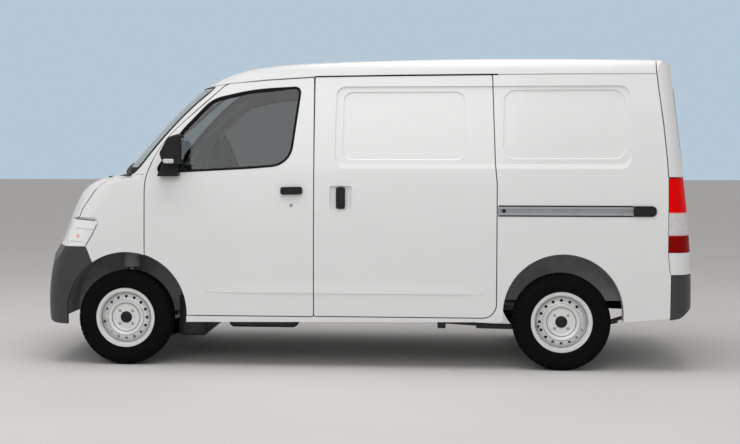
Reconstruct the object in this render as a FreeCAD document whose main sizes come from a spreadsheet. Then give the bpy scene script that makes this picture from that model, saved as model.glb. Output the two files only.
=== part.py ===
import FreeCAD, Part
import math
import os

import Sketcher

# Compact panel van, millimetres. +X is forward, +Y is left, +Z is up; the origin lies on the road below the
# middle of the body's box. The skin is the common volume of three forms: plan sections, side profile and
# cross section. Every panel is a layer of that skin, cut by an outline in the side view.

SIZES = [
    ("body_length", 4045, "over the bumpers"),
    ("body_width", 1665, "over the body sides"),
    ("body_height", 1900, "road to the crown of the roof"),
    ("wheelbase", 2650, "front hub to rear hub"),
    ("front_overhang", 570, "front hub to the bumper's nose"),
    ("tyre_radius", 290, "as it stands, between free and loaded"),
    ("tyre_width", 165, ""),
    ("tyre_facets", 60, "flats round the tread"),
    ("rim_radius", 170, "bead seat"),
    ("rim_flange_radius", 182, ""),
    ("rim_width", 126, "between the flanges, outside"),
    ("rim_gauge", 6, "sheet of the steel wheel"),
    ("hub_bore_radius", 30, "wheel centre"),
    ("vent_pitch_radius", 129, "hand holes"),
    ("vent_radius", 9, ""),
    ("vent_count", 16, ""),
    ("track_front", 1460, ""),
    ("track_rear", 1465, ""),
    ("door_depth", 40, "thickness of a door"),
    ("pocket_depth", 72, "door pocket's floor below the skin"),
    ("frame_depth", 90, "thickness of the pillars and rails"),
    ("roof_depth", 30, ""),
    ("gate_depth", 50, "thickness of the tailgate"),
    ("fender_depth", 24, ""),
    ("glass_gauge", 5, ""),
    ("shut_gap", 6.5, "between doors and body"),
    ("flange_width", 55, "door stop inside the opening"),
    ("door_bottom", 314, ""),
    ("sill_bottom", 268, ""),
    ("belt_height", 1170, "lower edge of the glass"),
    ("drip_height", 1768, "drip rail over the doors"),
    ("pillar_line", 288, "shut line between the doors, ahead of the origin"),
    ("slider_rear", -806, "rear shut line of the sliding door"),
    ("door_front", 1322, "front shut line of the front door"),
    ("front_arch_radius", 372, ""),
    ("front_arch_lift", 35, "arch centre above the hub"),
    ("front_arch_shift", 12, "arch centre behind the hub"),
    ("rear_arch_radius", 355, ""),
    ("rear_arch_lift", 55, ""),
    ("tow_eye_bore", 24, "hole for a towing pin"),
    ("tow_eye_gauge", 14, "plate of the tow eyes"),
    ("band_depth", 9, "stamped band above the belt"),
    ("inset_depth", 6, "second step inside the band"),
    ("swage_height", 5, "crease along the doors' foot"),
    ("scoop_depth", 12, "dish behind the sliding door's handle"),
    ("drip_depth", 7, "groove below the roof's edge"),
    ("rail_depth", 20, "room of the slide rail"),
]

doc = FreeCAD.newDocument("panel_van")
sheet = doc.addObject("Spreadsheet::Sheet", "sizes")
for row, (alias, value, note) in enumerate(SIZES, start=1):
    sheet.set("A%d" % row, alias)
    sheet.set("B%d" % row, str(value))
    sheet.set("C%d" % row, note)
    sheet.setAlias("B%d" % row, alias)
doc.recompute()


class Dimensions:
    def __getattr__(self, name):
        return float(sheet.get(name))


d = Dimensions()
V = FreeCAD.Vector
LEFT = 1
RIGHT = -1
SIDES = (("left", LEFT), ("right", RIGHT))

nose_x = d.body_length / 2
tail_x = -d.body_length / 2
front_axle = nose_x - d.front_overhang
rear_axle = front_axle - d.wheelbase
half_width = d.body_width / 2
hub_z = d.tyre_radius


# Curves and outlines

def spline(points, degree=3):
    """Uniform clamped spline edge on the given poles."""
    spans = len(points) - degree
    knots = [float(k) for k in range(spans + 1)]
    ends = [degree + 1] + [1] * (spans - 1) + [degree + 1]
    curve = Part.BSplineCurve()
    curve.buildFromPolesMultsKnots(points, ends, knots, False, degree)
    return curve.toShape()


def inward(points, depth):
    """The 2D points moved to the right of their path's direction by depth."""
    moved = []
    for i, (a, b) in enumerate(points):
        before = points[max(i - 1, 0)]
        after = points[min(i + 1, len(points) - 1)]
        da = after[0] - before[0]
        db = after[1] - before[1]
        run = math.hypot(da, db)
        moved.append((a + depth * db / run, b - depth * da / run))
    return moved


def rounded_wire(corners, place):
    """Closed wire through corners (a, b, radius), each corner rounded; place maps (a, b) to a vector."""
    starts, ends, mids = [], [], []
    count = len(corners)
    for i, (a, b, radius) in enumerate(corners):
        pa, pb = corners[i - 1][:2]
        na, nb = corners[(i + 1) % count][:2]
        ua, ub = pa - a, pb - b
        va, vb = na - a, nb - b
        lu, lv = math.hypot(ua, ub), math.hypot(va, vb)
        ua, ub, va, vb = ua / lu, ub / lu, va / lv, vb / lv
        angle = math.acos(max(-1.0, min(1.0, ua * va + ub * vb)))
        if radius <= 0 or angle > math.pi - 0.02:
            starts.append((a, b))
            mids.append(None)
            ends.append((a, b))
            continue
        reach = radius / math.tan(angle / 2)
        ba, bb = ua + va, ub + vb
        lb = math.hypot(ba, bb)
        drop = radius / math.sin(angle / 2) - radius
        starts.append((a + ua * reach, b + ub * reach))
        mids.append((a + ba / lb * drop, b + bb / lb * drop))
        ends.append((a + va * reach, b + vb * reach))
    edges = []
    for i in range(count):
        if mids[i] is not None:
            edges.append(Part.Arc(place(*starts[i]), place(*mids[i]), place(*ends[i])).toShape())
        j = (i + 1) % count
        edges.append(Part.makeLine(place(*ends[i]), place(*starts[j])))
    return Part.Wire(edges)


def with_radius(points, radius=0):
    return [p if len(p) == 3 else (p[0], p[1], radius) for p in points]


def side_prism(points, y0, y1, radius=0):
    """Outline in the side view, swept from y0 to y1."""
    wire = rounded_wire(with_radius(points, radius), lambda a, b: V(a, y0, b))
    return Part.Face(wire).extrude(V(0, y1 - y0, 0))


def front_prism(points, x0, x1, radius=0):
    """Outline in the front view (y, z), swept from x0 to x1."""
    wire = rounded_wire(with_radius(points, radius), lambda a, b: V(x0, a, b))
    return Part.Face(wire).extrude(V(x1 - x0, 0, 0))


def plan_prism(points, z0, z1, radius=0):
    """Outline in the plan view (x, y), swept from z0 to z1."""
    wire = rounded_wire(with_radius(points, radius), lambda a, b: V(a, b, z0))
    return Part.Face(wire).extrude(V(0, 0, z1 - z0))


def box(x0, x1, y0, y1, z0, z1):
    return Part.makeBox(x1 - x0, y1 - y0, z1 - z0, V(x0, y0, z0))


def rod(start, end, radius):
    """Round bar from start to end."""
    run = V(*end) - V(*start)
    return Part.makeCylinder(radius, run.Length, V(*start), run)


def mirrored(shape, side):
    if side == LEFT:
        return shape
    return shape.mirror(V(0, 0, 0), V(0, 1, 0))


def grown(points, amount):
    """Outline (counter-clockwise or clockwise) moved outwards by amount, corner by corner."""
    area = sum(points[i - 1][0] * p[1] - p[0] * points[i - 1][1] for i, p in enumerate(points))
    turn = 1 if area > 0 else -1
    moved = []
    count = len(points)
    for i, p in enumerate(points):
        a, b = points[i - 1], points[(i + 1) % count]
        u = V(p[0] - a[0], p[1] - a[1], 0).normalize()
        v = V(b[0] - p[0], b[1] - p[1], 0).normalize()
        nu = V(u.y, -u.x, 0) * turn
        nv = V(v.y, -v.x, 0) * turn
        bisector = nu + nv
        scale = 2 * amount / bisector.dot(bisector)
        radius = p[2] if len(p) == 3 else 0
        grown_radius = max(radius + amount, 0) if radius else 0
        moved.append((p[0] + bisector.x * scale, p[1] + bisector.y * scale, grown_radius))
    return moved


# The skin's three forms

SIDE_POLES = [(-22, 180), (-5, 420), (5, 800), (-14, 1150), (-60, 1450), (-104, 1650), (-126, 1765)]
ROOF_EDGE_POLES = [(-146, 1862), (-222, 1905), (-352, 1950)]


def side_poles(depth):
    poles = [(half_width + y, z) for y, z in SIDE_POLES + ROOF_EDGE_POLES]
    return [(y, z) for y, z in inward([(-y, z) for y, z in poles], depth)]


def cross_form(depth):
    """Cross section of the sides and roof edges, along the whole body."""
    poles = side_poles(depth)
    left = [V(-3000, -y, z) for y, z in poles]
    right = [V(-3000, y, z) for y, z in reversed(poles)]
    side_left = spline(left)
    side_right = spline(right)
    top = Part.makeLine(left[-1], right[0])
    foot = Part.makeLine(right[-1], left[0])
    wire = Part.Wire([side_left, top, side_right, foot])
    return Part.Face(wire).extrude(V(6000, 0, 0))


PLAN_LEVELS = [
    # height, nose inset, nose bow, nose corner, tail inset, tail bow, tail corner, side inset
    (150, 14, 74, 215, 12, 72, 150, 24),
    (450, 0, 74, 220, 0, 72, 150, 8),
    (850, 24, 170, 230, 17, 78, 150, 0),
    (1200, 224, 173, 240, 50, 80, 150, 24),
    (1950, 320, 150, 240, 130, 74, 140, 158),
]
SIDE_MARGIN = 5
NOSE_SLACK = 1.6
TAIL_SLACK = 3.3


def end_poles(tip, bow, corner, width, way):
    """Poles of a bumper-like end curve from the left side round to the right side."""
    root = tip - way * bow
    half = [
        (root - way * corner, width),
        (root - way * 0.42 * corner, width),
        (root + way * 0.02 * bow, width - 0.42 * corner),
        (tip - way * 0.75 * bow, width - corner),
        (tip - way * 0.1 * bow, 0.4 * width),
    ]
    return half + [(x, -y) for x, y in reversed(half)]


def plan_form(depth):
    """Plan sections from the sill to above the roof: rounded nose, tail and corners."""
    wires = []
    for z, nose_in, nose_bow, nose_r, tail_in, tail_bow, tail_r, side_in in PLAN_LEVELS:
        width = half_width + SIDE_MARGIN - side_in - depth
        front = end_poles(nose_x + NOSE_SLACK - nose_in - depth, nose_bow, max(nose_r - depth, 20), width, 1)
        rear = end_poles(tail_x - TAIL_SLACK + tail_in + depth, tail_bow, max(tail_r - depth, 20), width, -1)
        front = [V(x, y, z) for x, y in front]
        rear = [V(x, y, z) for x, y in rear]
        wires.append(Part.Wire([
            spline(front),
            Part.makeLine(front[-1], rear[-1]),
            spline(list(reversed(rear))),
            Part.makeLine(rear[0], front[0]),
        ]))
    return Part.makeLoft(wires, True, False)


NOSE_POLES = [(2080, 150), (2080, 610)]
BONNET_POLES = [(2080, 610), (2012, 690), (1990, 760), (1935, 880), (1884, 1015), (1822, 1118), (1700, 1153),
                (1585, 1168)]
SCREEN_POLES = [(1585, 1168), (1418, 1375), (1232, 1580), (1060, 1722)]
ROOF_POLES = [(1060, 1722), (900, 1815), (650, 1868), (200, 1889), (-700, 1909), (-1400, 1899), (-1770, 1892)]
TAIL_POLES = [(-1770, 1892), (-1866, 1886), (-1894, 1765), (-1936, 1450), (-1973, 1150), (-1996, 850),
              (-2080, 620)]
FOOT_POLES = [(-2080, 620), (-2080, 150)]
CROWN_REACH = 860
CROWN_HEIGHT = 1903.3


def profile_wire(y, depth):
    """Side profile at distance y from the middle plane, set in by depth."""
    share = (y / CROWN_REACH) ** 2
    pieces = (
        (NOSE_POLES, 0, 0), (BONNET_POLES, 193, 22), (SCREEN_POLES, 250, 0),
        (ROOF_POLES, 0, 62), (TAIL_POLES, -40, 62), (FOOT_POLES, 0, 0),
    )
    runs = []
    for poles, back, fall in pieces:
        raised = [(x, z + (d.body_height - CROWN_HEIGHT if z > 1000 else 0)) for x, z in poles]
        run = []
        for x, z in inward(raised, -depth):
            run.append(V(x, y, z))
        runs.append((run, back, fall))
    shaped = []
    for index, (run, back, fall) in enumerate(runs):
        count = len(run) - 1
        before = runs[index - 1] if index else (None, 0, 0)
        after = runs[index + 1] if index + 1 < len(runs) else (None, 0, 0)
        out = []
        for i, p in enumerate(run):
            t = i / count
            out.append(V(p.x - share * blend(before[1], back, after[1], t),
                         p.y, p.z - share * blend(before[2], fall, after[2], t)))
        shaped.append(out)
    for one, two in zip(shaped, shaped[1:]):
        joint = (one[-1] + two[0]) * 0.5
        one[-1] = joint
        two[0] = joint
    edges = [spline(run, min(3, len(run) - 1)) for run in shaped]
    edges.append(Part.makeLine(shaped[-1][-1], shaped[0][0]))
    return Part.Wire(edges)


def blend(before, here, after, t):
    """Lateral set-back of a run: its own in the middle, shared with its neighbours at the joints."""
    if t < 0.5:
        return here + (max(before, here) - here) * (1 - 2 * t)
    return here + (max(after, here) - here) * (2 * t - 1)


def profile_form(depth):
    wires = [profile_wire(y, depth) for y in (-CROWN_REACH, 0, CROWN_REACH)]
    return Part.makeLoft(wires, True, False)


made_skins = {}


def skin(depth, top_depth=None):
    """The whole body's volume inside the skin, set in by depth, and by top_depth in the side profile."""
    top = depth if top_depth is None else top_depth
    if (depth, top) not in made_skins:
        forms = plan_form(depth).common(profile_form(top)).common(cross_form(depth))
        made_skins[depth, top] = forms.Solids[0]
    return made_skins[depth, top]


made_shells = {}


def shell(outer, inner, top_inner=None):
    """The layer of the body between two depths below the skin."""
    if (outer, inner, top_inner) not in made_shells:
        made_shells[outer, inner, top_inner] = skin(outer).cut(skin(inner, top_inner))
    return made_shells[outer, inner, top_inner]


# Outlines in the side view

gap = d.shut_gap
arch_front = V(front_axle - d.front_arch_shift, 0, hub_z + d.front_arch_lift)
arch_rear = V(rear_axle - 5, 0, hub_z + d.rear_arch_lift)


def arch_prism(centre, radius, y0, y1):
    """Wheel arch: a cylinder with upright flanks below its centre."""
    drum = Part.makeCylinder(radius, y1 - y0, V(centre.x, y0, centre.z), V(0, 1, 0))
    legs = box(centre.x - radius, centre.x + radius, y0, y1, 0, centre.z)
    return drum.fuse(legs)


front_door_edge = [
    (d.pillar_line + gap / 2, d.door_bottom, 12),
    (d.door_front, d.door_bottom, 0),
    (d.door_front, 1140, 300),
    (1225, 1368, 500),
    (826, 1722, 95),
    (560, 1743, 0),
    (d.pillar_line + gap / 2 + 4, d.drip_height - 10, 10),
    (d.pillar_line + gap / 2, d.belt_height, 0),
]
slider_edge = [
    (d.pillar_line - gap / 2, d.door_bottom + 2, 10),
    (d.pillar_line - gap / 2, d.drip_height - 6, 10),
    (d.slider_rear + 27, d.drip_height, 12),
    (d.slider_rear + 11, 1245, 0),
    (d.slider_rear, 1120, 0),
    (d.slider_rear, d.door_bottom + 2, 80),
]
window_edge = [
    (1252, 1187, 15), (1092, 1428, 500), (908, 1621, 190), (674, 1674, 1200), (378, 1697, 22), (440, 1236, 130),
    (700, 1215, 0),
]
fender_edge = [
    (d.door_front + gap, 600, 0), (2200, 600, 0), (2200, 1152, 0), (1601, 1152, 0), (1445, d.belt_height, 0),
    (d.door_front + gap, d.belt_height, 0),
]
bonnet_edge = [
    (1605, 1300, 0), (1605, 1122, 0), (1664, 1042, 150), (1722, 958, 60), (1738, 908, 20), (1903, 888, 0),
    (2200, 880, 0), (2200, 1300, 0),
]
lamp_edge = [
    (1602, 900, 25), (1640, 815, 120), (1691, 730, 10), (2200, 730, 0), (2200, 880, 0), (1903, 884, 0),
    (1738, 904, 60),
]
bumper_edge = [
    (1691, 727, 0), (1640, 600, 0), (1640, 246, 0), (1900, 252, 200), (2060, 300, 0), (2200, 300, 0),
    (2200, 727, 0),
]
gate_line = [(-1752, 2000), (-1752, 1800), (-1762, 1697), (-1789, 1466), (-1806, 1277), (-1814, 1150)]
gate_sill = 592
lamp_low, lamp_high = 712, 1153
lamp_line = -1811
bumper_line = -1830
rear_bumper_top = 580
rear_bumper_foot = 312
corner_y = 690
roof_line = [(2200, 1722), (850, 1722), (572, 1750), (302, 1766), (-227, 1772), (-1183, 1776), (-2200, 1773)]

screen_front = [(-694, 1174, 60), (694, 1174, 60), (616, 1716, 70), (-616, 1716, 70)]


def half(shape, lower=2, upper=1200):
    """The left half of a layer."""
    return shape.common(box(-2300, 2300, lower, upper, 100, 2100))


left_door = half(shell(0, d.door_depth))
left_pocket = half(shell(0, d.pocket_depth))
left_deep = half(shell(0, d.frame_depth, d.frame_depth * 0.7))


def roof_prism(y0, y1):
    return side_prism(roof_line + [(-2200, 2100), (2200, 2100)], y0, y1)


def gate_prism(shift, y0, y1):
    """Everything behind the tailgate's shut line, moved back by shift."""
    line = [(x - shift, z) for x, z in gate_line]
    outline = [(-2300, 2100), (gate_line[0][0] - shift, 2100)] + line[1:]
    outline += [(-1827 - shift, 334), (-1827 - shift, 150), (-2300, 150)]
    return side_prism(outline, y0, y1)


front_door_prism = side_prism(front_door_edge, 2, 1000)
slider_prism = side_prism(slider_edge, 2, 1000)
window_prism = side_prism(window_edge, 2, 1000)
screen_prism = front_prism(screen_front, 700, 2200)
gate_front = [(-corner_y, gate_sill), (-corner_y, 1159), (-900, 1159), (-900, 2100), (900, 2100), (900, 1159),
              (corner_y, 1159), (corner_y, gate_sill)]


def leaned_prism(edges, radius, y0=830, y1=690):
    """Block with four leaning walls and rounded corners, each wall (place at mid depth, lean per mm of y)."""
    low, high, rear, front = edges
    mid = 765
    wires = []
    for y in (y0, y1):
        z0, z1, x0, x1 = (place + (y - mid) * lean for place, lean in (low, high, rear, front))
        wires.append(rounded_wire(with_radius([(x0, z0), (x1, z0), (x1, z1), (x0, z1)], radius),
                                  lambda a, b: V(a, y, b)))
    return Part.makeLoft(wires, True, True)


def stamped_recess(depth, low, high, rear, front, shelf, radius):
    """Recess pressed into the side above the belt, with a sloping shelf along its lower edge."""
    skin_y_low = 802
    skin_y_high = 722
    mid = 765
    lean_low = -shelf / (depth + 0.18 * shelf)
    edges = (
        (low + (mid - skin_y_low + depth) * lean_low, lean_low),
        (high + (mid - skin_y_high + depth) * 0.8, 0.8),
        (rear, -0.12),
        (front, 0.12),
    )
    return leaned_prism(edges, radius).cut(skin(depth))


def side_stamping():
    """Recess band along the load space's side, with a deeper inset in the door and in the quarter."""
    band = stamped_recess(d.band_depth, 1238, 1700, -1595, 160, 34, 60)
    door_inset = stamped_recess(d.band_depth + d.inset_depth, 1262, 1664, -622, 116, 12, 60)
    quarter_inset = stamped_recess(d.band_depth + d.inset_depth, 1268, 1674, -1568, -846, 10, 73)
    return band.fuse([door_inset, quarter_inset])


def swage():
    """Raised crease along the foot of both doors, fading to a point at each end."""
    low = 455
    stations = ((-737, 0.5, 8), (-574, d.swage_height, 62), (700, d.swage_height, 64), (963, 0.5, 8))
    wires = []
    for x, proud, width in stations:
        y_low = 826.2 + proud
        y_high = 827.8 + width * 0.006
        section = [V(x, 815, low - 3), V(x, y_low - 1.5, low - 3), V(x, y_low, low), V(x, y_high, low + width),
                   V(x, 815, low + width)]
        wires.append(Part.makePolygon(section + section[:1]))
    return Part.makeLoft(wires, True, True)


stamping = side_stamping()
crease = swage()


def front_door():
    door_arch = arch_prism(arch_front, d.front_arch_radius + 3, 2, 1000)
    door = left_door.common(front_door_prism).cut(door_arch).cut(window_prism)
    return door.fuse(crease.common(front_door_prism))


def roller_blocks():
    """Carriers on the sliding door's inner face that run in the rails of its pocket."""
    seat = skin(d.pocket_depth - 0.3)
    blocks = []
    places = ((190, 260, 800, 326, 352), (190, 260, 690, 1716, 1750), (-796, -766, 805, 930, 984))
    for x0, x1, y1, z0, z1 in places:
        blocks.append(box(x0, x1, 300, y1, z0, z1).cut(seat))
    return blocks


def sliding_door():
    scoop = side_prism([(58, 962, 12), (190, 962, 12), (190, 1102, 12), (58, 1102, 12)], 2, 1000)
    door = left_door.common(slider_prism).cut(stamping).cut(scoop.cut(skin(d.scoop_depth)))
    return door.fuse(crease.common(slider_prism)).fuse(roller_blocks())


rail_low, rail_high = 930, 983


def side_frame():
    outline = [
        (d.door_front + gap, d.sill_bottom), (d.door_front + gap, d.belt_height + 3), (1800, d.belt_height + 3),
        (1800, 1722), (850, 1722), (572, 1750), (302, 1766), (-227, 1772), (-1183, 1776), (-1746, 1774),
        (-2200, 1773), (-2200, rear_bumper_top + 3), (-1827, rear_bumper_top + 3), (-1827, 322), (-1559, 298),
        (-1197, 290), (-844, 290),
    ]
    frame = left_deep.common(side_prism(outline, 100, 1000))
    frame = frame.cut(screen_prism)
    pocket_outline = side_prism(grown(front_door_edge, gap), 2, 1000)
    pocket_outline = pocket_outline.fuse(side_prism(grown(slider_edge, gap), 2, 1000))
    frame = frame.cut(left_pocket.common(pocket_outline))
    frame = frame.cut(side_prism(grown(front_door_edge, -d.flange_width), 2, 1000))
    frame = frame.cut(side_prism(grown(slider_edge, -d.flange_width), 2, 1000))
    frame = frame.cut(arch_prism(arch_front, d.front_arch_radius, 2, 1000))
    frame = frame.cut(arch_prism(arch_rear, d.rear_arch_radius, 2, 1000))
    gate_room = gate_prism(-gap, 2, 1000).common(front_prism(grown(gate_front, gap), -2300, -1600))
    frame = frame.cut(gate_room)
    behind_lamp = skin(d.door_depth + 0.3)
    frame = frame.cut(box(-2300, lamp_line, corner_y - 2, 1000, lamp_low, lamp_high).cut(behind_lamp))
    drip = [(x, z - 4) for x, z in roof_line] + [(x, z + 1) for x, z in reversed(roof_line)]
    frame = frame.cut(side_prism(drip, 300, 1000).cut(skin(d.drip_depth)))
    rail_room = box(-1612, -700, 300, 1000, rail_low, rail_high).cut(skin(d.rail_depth))
    frame = frame.cut(stamping).cut(rail_room)
    striker = box(300, 336, 750, 1000, 890, 950).common(behind_lamp)
    return frame.fuse(striker)


def roof_panel():
    roof = shell(0, d.roof_depth + 8, d.roof_depth).common(roof_prism(-1000, 1000))
    return roof.cut(gate_prism(-gap, -1000, 1000))


def windscreen():
    pane = shell(0, d.glass_gauge).common(front_prism(grown(screen_front, -0.3), 700, 2200))
    return pane.common(box(900, 1700, -800, 800, 1100, 1722 - 0.3))


def fender():
    wing = half(shell(0, d.fender_depth), lower=300).common(side_prism(fender_edge, 300, 1000))
    wing = wing.cut(side_prism(grown(bonnet_edge, gap), 300, 1000))
    wing = wing.cut(side_prism(grown(lamp_edge, 3), 300, 1000))
    wing = wing.cut(side_prism(grown(bumper_edge, 3), 300, 1000))
    wing = wing.cut(screen_prism).cut(box(1300, 1605, 300, 703, 1090, 1300))
    return wing.cut(arch_prism(arch_front, d.front_arch_radius, 300, 1000))


def bonnet():
    return shell(0, d.fender_depth).common(side_prism(bonnet_edge, -1000, 1000))


lamp_inner = 440
lamp_depth = 60


def nose_panel():
    """Panel between the headlamps, above the bumper."""
    panel = shell(0, d.fender_depth).common(side_prism(lamp_edge, -lamp_inner + 3, lamp_inner - 3))
    panel = panel.common(box(1700, 2200, -1000, 1000, 733, 1000))
    slots = []
    for z in (782, 810, 838):
        slots.append(front_prism([(-340, z, 7), (340, z, 7), (345, z + 15, 7), (-345, z + 15, 7)], 1700, 2200))
    return panel.cut(slots)


def headlamp():
    return half(shell(0, lamp_depth), lower=lamp_inner).common(side_prism(lamp_edge, lamp_inner, 1000))


def front_panel():
    """Lock panel behind the lamps, with ribs to the nose panel and two rubber stops under the bonnet."""
    panel = shell(lamp_depth + 0.3, lamp_depth + 18).common(box(1600, 2200, -760, 760, 735, 965))
    panel = panel.cut(box(1500, 2200, -420, 420, 770, 850))
    ribs = shell(d.fender_depth + 0.3, lamp_depth + 18)
    added = []
    for y in (-425, 0, 425):
        low, high = (742, 768) if y == 0 else (742, 870)
        added.append(ribs.common(box(1600, 2200, y - 8, y + 8, low, high)))
    for y in (-330, 330):
        added.append(ribs.common(box(1600, 2200, y - 16, y + 16, 920, 952)))
    return panel.fuse(added).cut(arch_prism(arch_front, d.front_arch_radius + 21.3, -1000, 1000))


def front_bumper():
    bumper = shell(0, 35).common(side_prism(bumper_edge, -1000, 1000))
    bumper = bumper.cut(arch_prism(arch_front, d.front_arch_radius, -1000, 1000))
    mouth = front_prism([(-430, 330, 40), (430, 330, 40), (480, 520, 60), (-480, 520, 60)], 1700, 2200)
    bumper = bumper.cut(mouth)
    bars = []
    bar_count = 4
    for i in range(bar_count):
        z = 330 + (i + 1) * 190 / (bar_count + 1)
        bars.append(shell(6, 35).common(box(1700, 2200, -500, 500, z - 8, z + 8)).common(mouth))
    return bumper.fuse(bars)


def rear_bumper():
    outline = [(bumper_line, rear_bumper_top), (-2200, rear_bumper_top), (-2200, rear_bumper_foot + 248),
               (-1890, rear_bumper_foot + 10, 60), (bumper_line, rear_bumper_foot)]
    return shell(0, 35).common(side_prism(outline, -1000, 1000))


def tail_lamp():
    return left_door.common(box(-2300, lamp_line, corner_y, 1000, lamp_low + 2, lamp_high - 2))


gate_window = [(-560, 1230, 60), (560, 1230, 60), (520, 1690, 80), (-520, 1690, 80)]


def tailgate():
    gate = shell(0, d.gate_depth).common(front_prism(gate_front, -2300, -1600))
    gate = gate.common(gate_prism(0, -1000, 1000))
    plate_room = front_prism([(-215, 640, 20), (215, 640, 20), (250, 800, 40), (-250, 800, 40)], -2300, -1600)
    gate = gate.cut(front_prism(gate_window, -2300, -1600))
    return gate.cut(plate_room.cut(skin(d.band_depth + d.inset_depth)))


def gate_glass():
    pane = shell(6, 6 + d.glass_gauge).common(gate_prism(0, -1000, 1000))
    return pane.common(front_prism(grown(gate_window, -0.3), -2300, -1600))


def door_glass():
    pane = half(shell(6, 6 + d.glass_gauge))
    return pane.common(side_prism(grown(window_edge, -0.3), 2, 1000))


def cowl():
    strip = shell(0, d.fender_depth).common(box(1335, 1605 - gap, -1000, 1000, 1100, 1172.7))
    side_cut = grown([(2200, 1152), (1601, 1152), (1445, 1170), (1300, 1170), (1300, 900), (2200, 900)], 2)
    for y0, y1 in ((700, 1000), (-1000, -700)):
        strip = strip.cut(side_prism(side_cut, y0, y1))
    return strip


nodes = []


def piece(name, shape):
    """A shaped sub-part as an object of the document."""
    feature = doc.addObject("Part::Feature", name)
    feature.Shape = shape
    feature.Label = name
    feature.Placement = FreeCAD.Placement()
    nodes.append(feature)
    return feature


def pair(name, shape):
    """A left sub-part and its mirror image on the right."""
    piece(name + "_left", shape)
    piece(name + "_right", mirrored(shape, RIGHT))


def joined_pair(name, shape):
    """Both sides' solids in one sub-part."""
    piece(name, Part.makeCompound([shape, mirrored(shape, RIGHT)]))


piece("roof_panel", roof_panel())
piece("windscreen", windscreen())
joined_pair("front_fenders", fender())
piece("bonnet", bonnet())
piece("nose_panel", nose_panel())
joined_pair("headlamps", headlamp())
piece("front_panel", front_panel())
piece("front_bumper", front_bumper())
piece("rear_bumper", rear_bumper())
joined_pair("tail_lamps", tail_lamp())
piece("tailgate", tailgate())
piece("tailgate_glass", gate_glass())
piece("cowl_panel", cowl())
pair("side_frame", side_frame())
pair("front_door", front_door())
pair("door_glass", door_glass())
pair("sliding_door", sliding_door())



# Mechanical parts, as bodies with sketches bound to the sheet

def reference(body, role):
    return next(f for f in body.Origin.OriginFeatures if f.Role == role)


def new_body(name, base=None, turned=False):
    """A body placed by three expressions; turned swings it half a turn about the upright axis."""
    body = doc.addObject("PartDesign::Body", name)
    body.Label = name
    if turned:
        body.Placement = FreeCAD.Placement(V(0, 0, 0), FreeCAD.Rotation(V(0, 0, 1), 180))
    if base:
        for axis, rule in zip("xyz", base):
            body.setExpression("Placement.Base." + axis, rule)
    return body


def new_sketch(body, role, name, offset=None):
    sketch = body.newObject("Sketcher::SketchObject", name)
    sketch.AttachmentSupport = [(reference(body, role), "")]
    sketch.MapMode = "FlatFace"
    if offset:
        sketch.setExpression("AttachmentOffset.Base.z", offset)
    return sketch


def polygon(sketch, points):
    """Closed polygon; each point is a pair of expressions that drive its two distances from the origin."""
    rules = [(str(a), str(b)) for a, b in points]
    values = [(float(sketch.evalExpression(a)), float(sketch.evalExpression(b))) for a, b in rules]
    count = len(values)
    first = sketch.GeometryCount
    for i, (a, b) in enumerate(values):
        c, e = values[(i + 1) % count]
        sketch.addGeometry(Part.LineSegment(V(a, b, 0), V(c, e, 0)), False)
    for i in range(count):
        sketch.addConstraint(Sketcher.Constraint("Coincident", first + i, 2, first + (i + 1) % count, 1))
    for i, (rule_a, rule_b) in enumerate(rules):
        for kind, rule, value in (("DistanceX", rule_a, values[i][0]), ("DistanceY", rule_b, values[i][1])):
            index = sketch.addConstraint(Sketcher.Constraint(kind, -1, 1, first + i, 1, value))
            sketch.setExpression("Constraints[%d]" % index, rule)


def circle(sketch, a, b, radius):
    """Circle whose centre and radius are expressions."""
    va, vb, vr = (float(sketch.evalExpression(str(rule))) for rule in (a, b, radius))
    index = sketch.addGeometry(Part.Circle(V(va, vb, 0), V(0, 0, 1), vr), False)
    for kind, rule, value in (("DistanceX", a, va), ("DistanceY", b, vb)):
        c = sketch.addConstraint(Sketcher.Constraint(kind, -1, 1, index, 3, value))
        sketch.setExpression("Constraints[%d]" % c, str(rule))
    c = sketch.addConstraint(Sketcher.Constraint("Radius", index, vr))
    sketch.setExpression("Constraints[%d]" % c, str(radius))


def revolve(body, sketch, axis):
    turn = body.newObject("PartDesign::Revolution", sketch.Name + "_turned")
    turn.Profile = sketch
    turn.ReferenceAxis = (reference(body, axis), [""])
    turn.Angle = 360
    return turn


def keep(obj):
    nodes.append(obj)
    return obj


WHEEL_CENTRE = ("sizes.body_length / 2 - sizes.front_overhang", "sizes.track_front / 2", "sizes.tyre_radius")


def tyre_shape():
    """Tyre about the origin, its outer face towards +Y: rings of flat facets, one of them at the bottom."""
    seat = d.rim_radius + 0.4
    bead = d.rim_width / 2 - 8.5
    wide = d.tyre_width / 2
    outline = [
        (-bead, seat), (-bead, d.rim_flange_radius + 3), (-wide, d.tyre_radius - 60),
        (20 - wide, d.tyre_radius),
        (wide - 20, d.tyre_radius), (wide, d.tyre_radius - 60), (bead, d.rim_flange_radius + 3), (bead, seat),
    ]
    sides = int(d.tyre_facets)

    def corner(i, y, radius):
        turn = 2 * math.pi * (i + 0.5) / sides
        reach = radius / math.cos(math.pi / sides)
        return V(reach * math.sin(turn), y, -reach * math.cos(turn))

    faces = []
    for i in range(sides):
        for start, end in zip(outline, outline[1:] + outline[:1]):
            loop = [corner(i, *start), corner(i + 1, *start), corner(i + 1, *end), corner(i, *end)]
            faces.append(Part.Face(Part.makePolygon(loop + loop[:1])))
    solid = Part.Solid(Part.Shell(faces))
    solid.fix(0.01, 0.01, 0.01)
    return solid


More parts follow.
